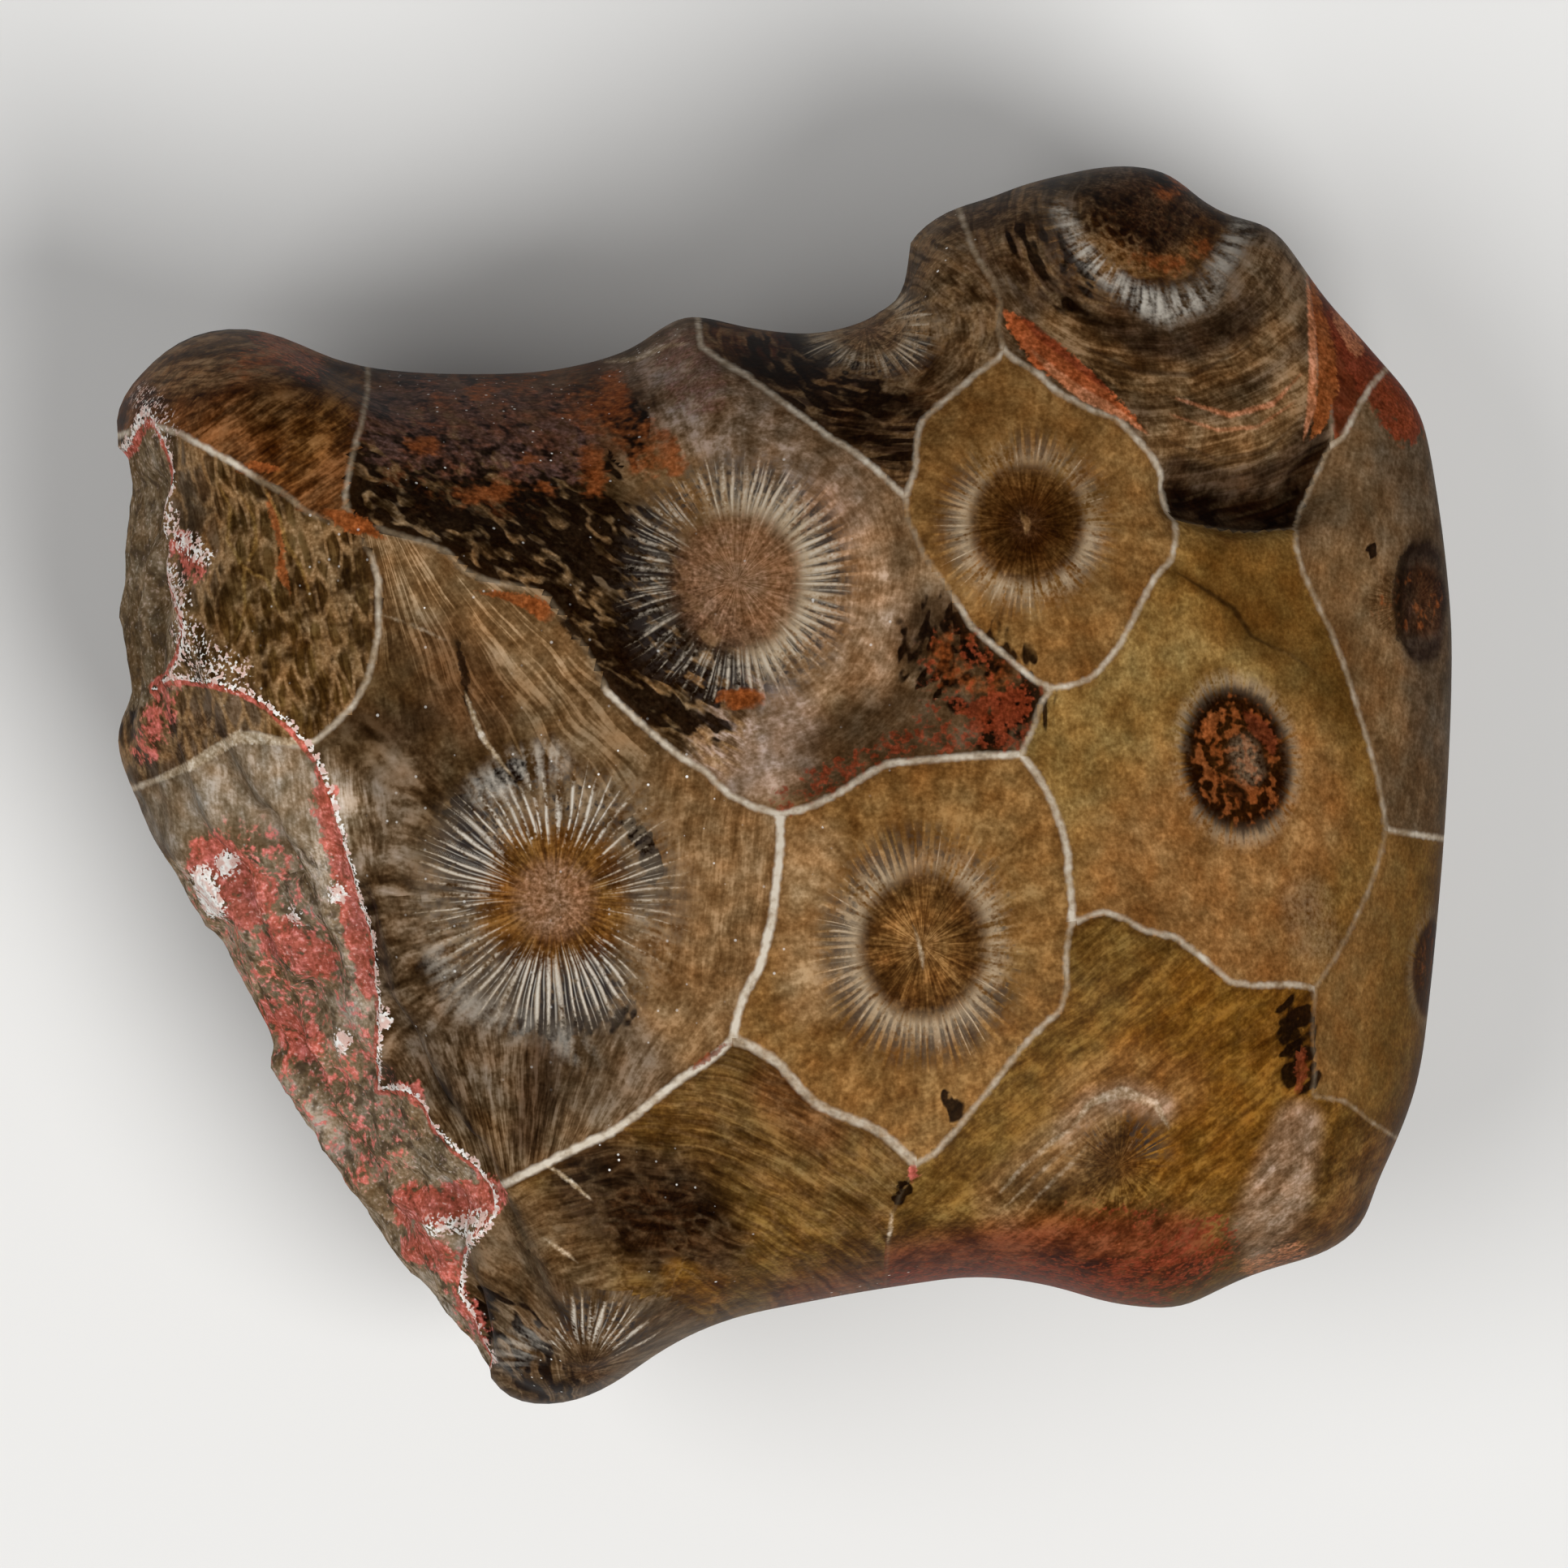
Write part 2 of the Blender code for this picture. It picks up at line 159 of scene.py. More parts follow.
# Where the cells that reach the rim go on round the sides, and the cells of the back, in millimetres
RIM_SEEDS = {
    "horn": (-18.5, 13.0, 10.0), "left": (-20.0, 5.0, 10.5), "behind_ridge": (-7.0, 12.0, 10.0),
    "notch": (1.0, 13.5, 10.5), "lobe": (10.5, 18.0, 11.0), "wedge": (17.6, 14.2, 12.5),
    "right": (20.2, 5.5, 11.5), "right_low": (19.8, -5.6, 11.5), "low_right": (13.2, -15.0, 11.0),
    "dark_patch": (0.5, -15.6, 11.0), "tip": (-7.5, -18.0, 12.0), "big": (-16.5, -5.5, 11.0),
}
BACK_SEEDS = {
    "back_1": (-11.5, 6.5, 2.5), "back_2": (0.6, 9.6, 2.2), "back_3": (10.6, 12.4, 3.6),
    "back_4": (15.4, 4.6, 3.4), "back_5": (5.6, 1.8, 0.0), "back_6": (-5.0, 0.4, 0.4),
    "back_7": (-12.2, -4.8, 3.4), "back_8": (14.4, -5.6, 3.6), "back_9": (5.0, -8.4, 1.2),
    "back_10": (-4.6, -9.6, 1.8), "back_11": (12.2, -13.0, 6.2), "back_12": (17.8, 11.0, 6.6),
}

# Colours as linear red, green and blue: those of the cells, then those of veins, cups, walls and the break
COLOURS = {
    "honey": (0.178, 0.098, 0.026),
    "tan": (0.156, 0.074, 0.020),
    "ochre": (0.205, 0.090, 0.026),
    "fawn": (0.160, 0.084, 0.032),
    "buff": (0.222, 0.127, 0.055),
    "umber": (0.098, 0.056, 0.025),
    "olive": (0.104, 0.050, 0.0095),
    "moss": (0.047, 0.023, 0.006),
    "bark": (0.062, 0.026, 0.008),
    "pitch": (0.022, 0.0100, 0.0040),
    "soot": (0.006, 0.002, 0.0005),
    "rose": (0.250, 0.138, 0.078),
    "blush": (0.270, 0.175, 0.115),
    "gold": (0.118, 0.046, 0.005),
    "amber": (0.110, 0.044, 0.0078),
    "maroon": (0.105, 0.022, 0.007),
    "mist": (0.150, 0.100, 0.066),
    "dun": (0.118, 0.058, 0.011),
    "slate_brown": (0.085, 0.054, 0.030),
    "plum": (0.020, 0.010, 0.006),
    "dusk": (0.070, 0.027, 0.010),
    "russet": (0.100, 0.042, 0.010),
    "chestnut": (0.108, 0.038, 0.010),
    "clay": (0.074, 0.043, 0.021),
    "slag": (0.056, 0.032, 0.014),
    "sage": (0.112, 0.062, 0.025),
    "ash": (0.225, 0.165, 0.105),
    "bone": (0.500, 0.455, 0.385),
    "cream": (0.350, 0.262, 0.165),
    "wall": (0.320, 0.235, 0.145),
    "milk": (0.500, 0.440, 0.355),
    "chalk": (0.720, 0.700, 0.660),
    "slate": (0.022, 0.017, 0.015),
    "char": (0.036, 0.009, 0.0010),
    "rust": (0.172, 0.047, 0.011),
    "blood": (0.130, 0.022, 0.007),
    "core": (0.215, 0.109, 0.054),
    "core_dark": (0.085, 0.038, 0.017),
    "break": (0.215, 0.158, 0.100),
    "break_dark": (0.060, 0.040, 0.024),
    "brick": (0.350, 0.080, 0.055),
    "coral": (0.360, 0.135, 0.060),
    "flame": (0.270, 0.064, 0.018),
    "pink": (0.520, 0.270, 0.210),
    "dusty": (0.125, 0.060, 0.042),
}

# The lines that the combed fibres of the lower cells run beside
TIP_LINE = [(590, 1590), (640, 1622), (676, 1664), (700, 1730)]
COMBED_LINE = [(560, 1480), (658, 1438), (760, 1418), (870, 1428), (963, 1472), (1036, 1522), (1100, 1570)]

# A cell's ground: its colour, the way its fibres run, and how strong the fibres, the net of blisters,
# the streaks from its cup and the mottling are. Fibres run in a line at an angle from the photograph's
# right, beside a guiding line, in a ring round the cup or in a fan from it.
Ground = namedtuple("Ground", "colour flow hair net radial mottle")
GROUNDS = {
    "horn": Ground("chestnut", ("line", 34), 1.50, 0.10, 0.0, 1.9),
    "left": Ground("moss", ("line", -80), 1.05, 1.10, 0.0, 1.3),
    "behind_ridge": Ground("buff", ("fan",), 0.50, 0.05, 0.4, 1.0),
    "notch": Ground("bark", ("ring",), 1.10, 0.60, 0.3, 2.0),
    "lobe": Ground("clay", ("ring",), 1.00, 0.10, 0.0, 1.6),
    "a": Ground("tan", ("fan",), 0.12, 0.00, 0.36, 1.1),
    "c": Ground("honey", ("ring",), 0.10, 0.00, 0.10, 1.15),
    "b": Ground("tan", ("fan",), 0.16, 0.00, 0.40, 1.3),
    "big": Ground("umber", ("fan",), 0.55, 0.05, 0.34, 1.2),
    "dark_patch": Ground("olive", ("guide", COMBED_LINE), 0.90, 0.20, 0.0, 1.1),
    "tip": Ground("umber", ("fan",), 0.90, 0.10, 0.5, 1.4),
    "low_right": Ground("olive", ("line", 38), 0.65, 0.05, 0.1, 1.25),
    "right_low": Ground("tan", ("line", 72), 0.22, 0.00, 0.0, 0.7),
    "right": Ground("umber", ("line", 80), 0.35, 0.05, 0.0, 0.9),
    "wedge": Ground("maroon", ("line", -50), 0.50, 0.05, 0.0, 1.0),
}
BACK_GROUNDS = [
    Ground("tan", ("fan",), 0.30, 0.05, 0.4, 1.0),
    Ground("olive", ("ring",), 0.70, 0.40, 0.1, 1.2),
    Ground("honey", ("fan",), 0.15, 0.00, 0.3, 1.0),
    Ground("umber", ("ring",), 0.70, 0.20, 0.1, 1.4),
]

# A cell's cup. Its place and radii are in pixels of the photograph, or millimetres for a place off the
# front, and its turn is in degrees. The rest is in radii of its disc: how dark the disc is in the middle
# and at the rim, and how orange; the radius and strength of its grainy core; the inner and outer radius
# and strength of the pale halo; and the rays' count, inner and outer radius, paleness, how dark the gaps
# between them are, and their width in millimetres. A core is grainy (1) or streaked outwards (0).
Cup = namedtuple("Cup", "at radii turn disc core halo rays grainy", defaults=(1.0,))
CUPS = {
    "a": Cup((1265, 645), (72, 74), 0, (0.80, 0.50, 0.05), (0.3, 0.1), (0.96, 1.50, 0.85),
             (64, 0.92, 1.75, 0.30, 0.45, 0.085)),
    "b": Cup((1137, 1165), (80, 92), 0, (0.15, 0.45, 0.12), (0.3, 0.1), (0.95, 1.50, 0.90),
             (66, 0.90, 1.85, 0.32, 0.60, 0.095)),
    "c": Cup((1524, 936), (66, 92), 9, (0.80, 1.00, 0.62), (0.3, 0.0), (0.96, 1.28, 0.60),
             (56, 0.90, 1.20, 0.0, 0.0, 0.070), 0.5),
    "big": Cup((682, 1107), (92, 92), 0, (0.0, 0.10, 0.10), (0.54, 0.90), (1.15, 2.1, 0.30),
               (60, 0.62, 2.15, 1.05, 0.85, 0.080), 0.7),
    "behind_ridge": Cup((908, 716), (80, 86), 0, (0.0, 0.20, 0.10), (0.95, 0.85), (0.92, 1.72, 1.20),
                        (60, 0.88, 2.10, 0.62, 0.75, 0.125), 0.2),
    "lobe": Cup((1412, 262), (84, 74), 0, (0.80, 0.30, 0.10), (0.2, 0.1), (1.25, 1.9, 0.05),
                (54, 1.05, 1.80, 0.10, 0.60, 0.080)),
    "right": Cup((19.9, 5.8, 13.8), (44, 92), 0, (0.25, 0.20, 0.30), (0.2, 0.1), (1.0, 1.4, 0.06),
                 (44, 0.8, 1.5, 0.0, 0.0, 0.080)),
    "right_low": Cup((19.9, -5.7, 12.6), (60, 66), 0, (0.60, 0.70, 0.20), (0.2, 0.1), (1.0, 1.4, 0.20),
                     (44, 0.8, 1.5, 0.10, 0.3, 0.080)),
    "low_right": Cup((1378, 1436), (54, 56), 0, (0.30, 0.10, 0.0), (0.2, 0.0), (1.25, 1.9, 0.0),
                     (34, 0.25, 1.50, 0.12, 0.80, 0.100)),
    "dark_patch": Cup((812, 1502), (66, 44), 0, (0.35, 0.20, 0.0), (0.2, 0.0), (1.0, 1.2, 0.0),
                      (40, 0.5, 2.4, 0.0, 0.0, 0.070)),
    "tip": Cup((722, 1690), (30, 28), 0, (0.30, 0.30, 0.0), (0.2, 0.1), (1.0, 1.2, 0.0),
               (40, 0.6, 4.4, 0.84, 0.90, 0.105)),
    "notch": Cup((1068, 404), (44, 30), -10, (0.15, 0.10, 0.10), (0.5, 0.3), (1.1, 2.2, 0.50),
                 (30, 0.8, 2.5, 0.55, 0.80, 0.130), 0.2),
    "left": Cup((238, 905), (44, 34), -20, (0.10, 0.10, 0.0), (0.2, 0.0), (1.0, 1.2, 0.0),
                (44, 0.7, 2.0, 0.0, 0.0, 0.070)),
    "horn": Cup((-17.8, 13.8, 9.0), (70, 70), 0, (0.7, 0.5, 0.1), (0.3, 0.3), (1.0, 1.5, 0.4),
                (54, 0.8, 1.7, 0.4, 0.5, 0.090)),
}
BACK_CUPS = [
    Cup(None, (74, 78), 0, (0.95, 0.65, 0.10), (0.3, 0.1), (0.95, 1.50, 0.45),
        (60, 0.80, 1.70, 0.35, 0.45, 0.075)),
    Cup(None, (86, 82), 0, (0.0, 0.20, 0.15), (0.56, 0.8), (1.5, 2.0, 0.10),
        (48, 0.64, 1.85, 0.85, 0.70, 0.110)),
    Cup(None, (66, 82), 20, (0.20, 0.95, 0.65), (0.3, 0.5), (1.0, 1.35, 0.40),
        (54, 0.86, 1.40, 0.30, 0.60, 0.075)),
    Cup(None, (82, 86), 0, (0.0, 0.15, 0.10), (0.95, 0.85), (0.95, 1.60, 0.60),
        (58, 0.84, 1.75, 0.60, 0.50, 0.110), 0.2),
]

# A mark: its strength, half width, softness, the line it follows and, where it keeps to one, its cell.
# More widths than one are spread along the line.
Mark = namedtuple("Mark", "strength width soft points cell", defaults=(None,))

# Width in millimetres and paleness of the walls, and of some by the two cells that they part
WALL = (0.16, 0.62)
SOME_WALLS = {
    ("b", "big"): (0.23, 1.0), ("behind_ridge", "big"): (0.18, 0.78), ("behind_ridge", "b"): (0.19, 0.80),
    ("b", "dark_patch"): (0.27, 0.66), ("left", "big"): (0.17, 0.66), ("horn", "left"): (0.17, 0.78),
    ("horn", "behind_ridge"): (0.16, 0.50), ("b", "c"): (0.20, 0.80), ("a", "behind_ridge"): (0.16, 0.72),
    ("a", "c"): (0.16, 0.68), ("a", "lobe"): (0.17, 0.70), ("c", "low_right"): (0.17, 0.66),
    ("c", "right"): (0.13, 0.48), ("c", "right_low"): (0.12, 0.38), ("b", "low_right"): (0.16, 0.58),
    ("big", "dark_patch"): (0.22, 0.92), ("low_right", "right_low"): (0.11, 0.38),
    ("dark_patch", "low_right"): (0.08, 0.10), ("lobe", "wedge"): (0.11, 0.35), ("c", "lobe"): (0.09, 0.22),
    ("notch", "lobe"): (0.17, 0.50), ("behind_ridge", "notch"): (0.17, 0.70),
    ("right", "lobe"): (0.12, 0.42), ("dark_patch", "tip"): (0.10, 0.0), ("big", "tip"): (0.10, 0.0),
}

# Stretches where a wall has worn away
WORN_WALLS = [
    Mark(0.55, 12, 14, [(470, 650), (520, 668), (560, 690), (640, 724)]),
    Mark(0.80, 14, 12, [(650, 722), (700, 765), (735, 826)]),
    Mark(0.50, 10, 14, [(330, 596), (380, 632), (420, 648)]),
    Mark(0.90, 12, 10, [(405, 640), (440, 652), (462, 662)]),
    Mark(0.50, 14, 14, [(1232, 400), (1228, 350)]),
    Mark(0.60, 12, 20, [(1160, 720), (1120, 640)]),
    Mark(0.55, 10, 14, [(1604, 1240), (1617, 1330)]),
]

# Places where a cell's fibres run another way, by cell: flow, half width, softness and a line
Turn = namedtuple("Turn", "flow width soft points strength", defaults=(1.0,))
TURNS = {
    "big": [
        Turn(("fan", (436, 560)), 110, 60, [(460, 720), (600, 800), (740, 900)]),
        Turn(("line", 84), 60, 50, [(880, 980), (900, 1120), (860, 1240)]),
        Turn(("fan", (640, 1560)), 70, 60, [(560, 1370), (700, 1320), (820, 1310)]),
        Turn(("line", -84), 60, 50, [(220, 1000), (330, 970), (400, 1010)]),
    ],
    "behind_ridge": [
        Turn(("line", -34), 120, 60, [(480, 540), (640, 660), (820, 850)]),
        Turn(("ring",), 50, 60, [(1010, 540), (1090, 660), (1100, 800), (1000, 920)]),
    ],
    "horn": [
        Turn(("line", 8), 40, 40, [(220, 440), (300, 415), (360, 420)]),
    ],
    "tip": [
        Turn(("guide", TIP_LINE), 40, 30, TIP_LINE),
    ],
}

# Broad washes of colour, by cell: colour, strength, half width, softness and the line they follow
Wash = namedtuple("Wash", "colour strength width soft points")
WASHES = {
    "behind_ridge": [
        Wash("slag", 0.97, 84, 70, [(500, 570), (640, 650), (740, 720), (800, 800), (866, 880)]),
        Wash("dusk", 0.90, 50, 60, [(490, 490), (640, 510), (740, 500)]),
        Wash("moss", 0.60, 16, 40, [(540, 590), (640, 580), (740, 600)]),
        Wash("moss", 0.70, 14, 24, [(660, 730), (760, 780), (830, 880)]),
        Wash("mist", 0.80, 40, 60, [(830, 440), (890, 510), (960, 560), (1010, 600)]),
        Wash("rose", 0.45, 50, 60, [(1050, 640), (1056, 780)]),
        Wash("umber", 0.60, 12, 36, [(910, 410), (1000, 520), (1100, 620), (1140, 720), (1180, 780)]),
        Wash("pitch", 0.80, 44, 50, [(1170, 790), (1230, 880), (1120, 905), (1030, 940)]),
        Wash("blush", 0.70, 30, 50, [(950, 880), (910, 930), (940, 930)]),
    ],
    "notch": [
        Wash("pitch", 0.97, 36, 36, [(960, 450), (1060, 510), (1110, 540)]),
        Wash("umber", 0.80, 36, 40, [(1150, 310), (1200, 440)]),
        Wash("buff", 0.75, 26, 30, [(1100, 405), (1040, 400)]),
        Wash("maroon", 0.35, 12, 24, [(900, 410), (950, 420)]),
    ],
    "lobe": [
        Wash("bark", 0.60, 24, 30, [(1230, 280), (1300, 330), (1350, 380)]),
        Wash("russet", 0.90, 14, 16, [(1356, 280), (1376, 318), (1420, 336), (1468, 320), (1492, 280)]),
        Wash("pitch", 0.80, 10, 26, [(1340, 400), (1430, 432), (1520, 405), (1560, 370)]),
        Wash("pitch", 0.70, 14, 20, [(1270, 350), (1330, 395)]),
        Wash("fawn", 0.80, 8, 24, [(1300, 400), (1400, 462), (1480, 470), (1560, 430), (1590, 380)]),
        Wash("moss", 0.60, 6, 18, [(1360, 470), (1440, 500), (1540, 490)]),
        Wash("fawn", 0.80, 14, 30, [(1440, 540), (1500, 550), (1560, 530), (1600, 470)]),
        Wash("umber", 0.80, 20, 30, [(1560, 330), (1590, 360)]),
        Wash("pitch", 0.90, 8, 16, [(1452, 575), (1520, 596), (1580, 580), (1620, 530)]),
        Wash("soot", 1.00, 21, 8, [(1452, 618), (1520, 636), (1590, 620), (1640, 562)]),
    ],
    "c": [
        Wash("ochre", 0.85, 120, 120, [(1500, 1110), (1560, 1060)]),
        Wash("gold", 0.60, 30, 60, [(1490, 720), (1580, 740)]),
        Wash("dun", 0.80, 10, 60, [(1640, 1150), (1700, 1030), (1690, 920), (1650, 790)]),
    ],
    "b": [
        Wash("buff", 0.60, 20, 40, [(1000, 1050), (992, 1130), (1000, 1220)]),
    ],
    "big": [
        Wash("fawn", 0.95, 60, 60, [(880, 1000), (900, 1130), (870, 1230)]),
        Wash("moss", 0.85, 34, 60, [(450, 840), (500, 930)]),
        Wash("pitch", 0.70, 6, 36, [(440, 890), (490, 900), (530, 880)]),
        Wash("sage", 0.90, 50, 60, [(500, 700), (640, 800), (760, 900)]),
        Wash("bark", 0.80, 22, 40, [(560, 790), (590, 880)]),
        Wash("slate_brown", 0.50, 50, 60, [(500, 1000), (480, 1150), (520, 1300)]),
        Wash("moss", 0.75, 14, 40, [(540, 1040), (570, 970), (640, 930)]),
        Wash("amber", 1.00, 82, 26, [(682, 1107)]),
        Wash("slate_brown", 0.70, 40, 50, [(560, 1290), (760, 1310)]),
        Wash("slag", 0.50, 24, 44, [(560, 1330), (640, 1338), (720, 1330)]),
        Wash("buff", 0.50, 20, 40, [(490, 690), (570, 735), (680, 810)]),
        Wash("pitch", 0.75, 12, 24, [(672, 1290), (662, 1360), (650, 1400)]),
        Wash("ash", 0.90, 40, 40, [(230, 990), (330, 970), (390, 1010)]),
    ],
    "dark_patch": [
        Wash("clay", 0.22, 44, 60, [(880, 1340), (960, 1400), (1070, 1450)]),
        Wash("slate_brown", 0.60, 30, 60, [(640, 1520), (700, 1580)]),
        Wash("pitch", 0.92, (40, 54, 40), 60, [(740, 1460), (810, 1490), (850, 1530)]),
        Wash("soot", 0.55, (20, 36, 26), 50, [(740, 1470), (810, 1495), (850, 1525)]),
        Wash("maroon", 0.35, 14, 40, [(960, 1340), (1010, 1390)]),
        Wash("maroon", 0.75, 8, 40, [(980, 1606), (1090, 1585)]),
        Wash("gold", 0.80, 12, 20, [(838, 1576), (876, 1590)]),
    ],
    "low_right": [
        Wash("gold", 0.85, 90, 90, [(1540, 1290), (1480, 1350)]),
        Wash("ochre", 0.50, 14, 40, [(1330, 1350), (1390, 1322), (1450, 1340)]),
        Wash("blush", 0.55, 4, 24, [(1316, 1396), (1345, 1362), (1390, 1350), (1430, 1366)]),
        Wash("fawn", 0.65, 18, 34, [(1240, 1478), (1290, 1430), (1340, 1390)]),
        Wash("bark", 0.55, 10, 30, [(1300, 1480), (1350, 1450), (1380, 1420)]),
        Wash("blush", 0.52, (10, 20, 26), 30, [(1600, 1386), (1586, 1440), (1560, 1520)]),
        Wash("maroon", 0.86, (14, 30, 34, 20), 44,
             [(1090, 1570), (1250, 1556), (1350, 1550), (1450, 1536)]),
        Wash("russet", 0.90, 30, 50, [(1740, 1420), (1690, 1500), (1620, 1560)]),
    ],
    "right": [
        Wash("fawn", 0.80, 30, 50, [(1650, 720), (1690, 880)]),
        Wash("slate_brown", 0.90, 20, 50, [(1740, 560), (1780, 640), (1780, 900)]),
        Wash("plum", 0.95, (18, 26, 18), 12, [(1752, 688), (1754, 735), (1754, 794)]),
        Wash("chestnut", 0.28, 8, 14, [(1756, 706), (1758, 770)]),
    ],
    "right_low": [
        Wash("dun", 0.85, 20, 90, [(1780, 1060), (1760, 1250), (1730, 1350)]),
        Wash("bark", 0.80, 10, 40, [(1800, 1060), (1790, 1250), (1740, 1380)]),
    ],
    "horn": [
        Wash("fawn", 0.75, 24, 30, [(220, 450), (280, 425), (340, 425)]),
        Wash("moss", 0.60, 20, 40, [(340, 500), (400, 480)]),
        Wash("amber", 0.45, 14, 30, [(350, 570), (400, 530), (430, 500)]),
    ],
    "left": [
        Wash("olive", 0.25, 40, 50, [(330, 800), (380, 870)]),
        Wash("slate_brown", 0.60, 20, 40, [(216, 580), (232, 700)]),
        Wash("clay", 0.95, 30, 30, [(200, 930), (280, 880)]),
    ],
}

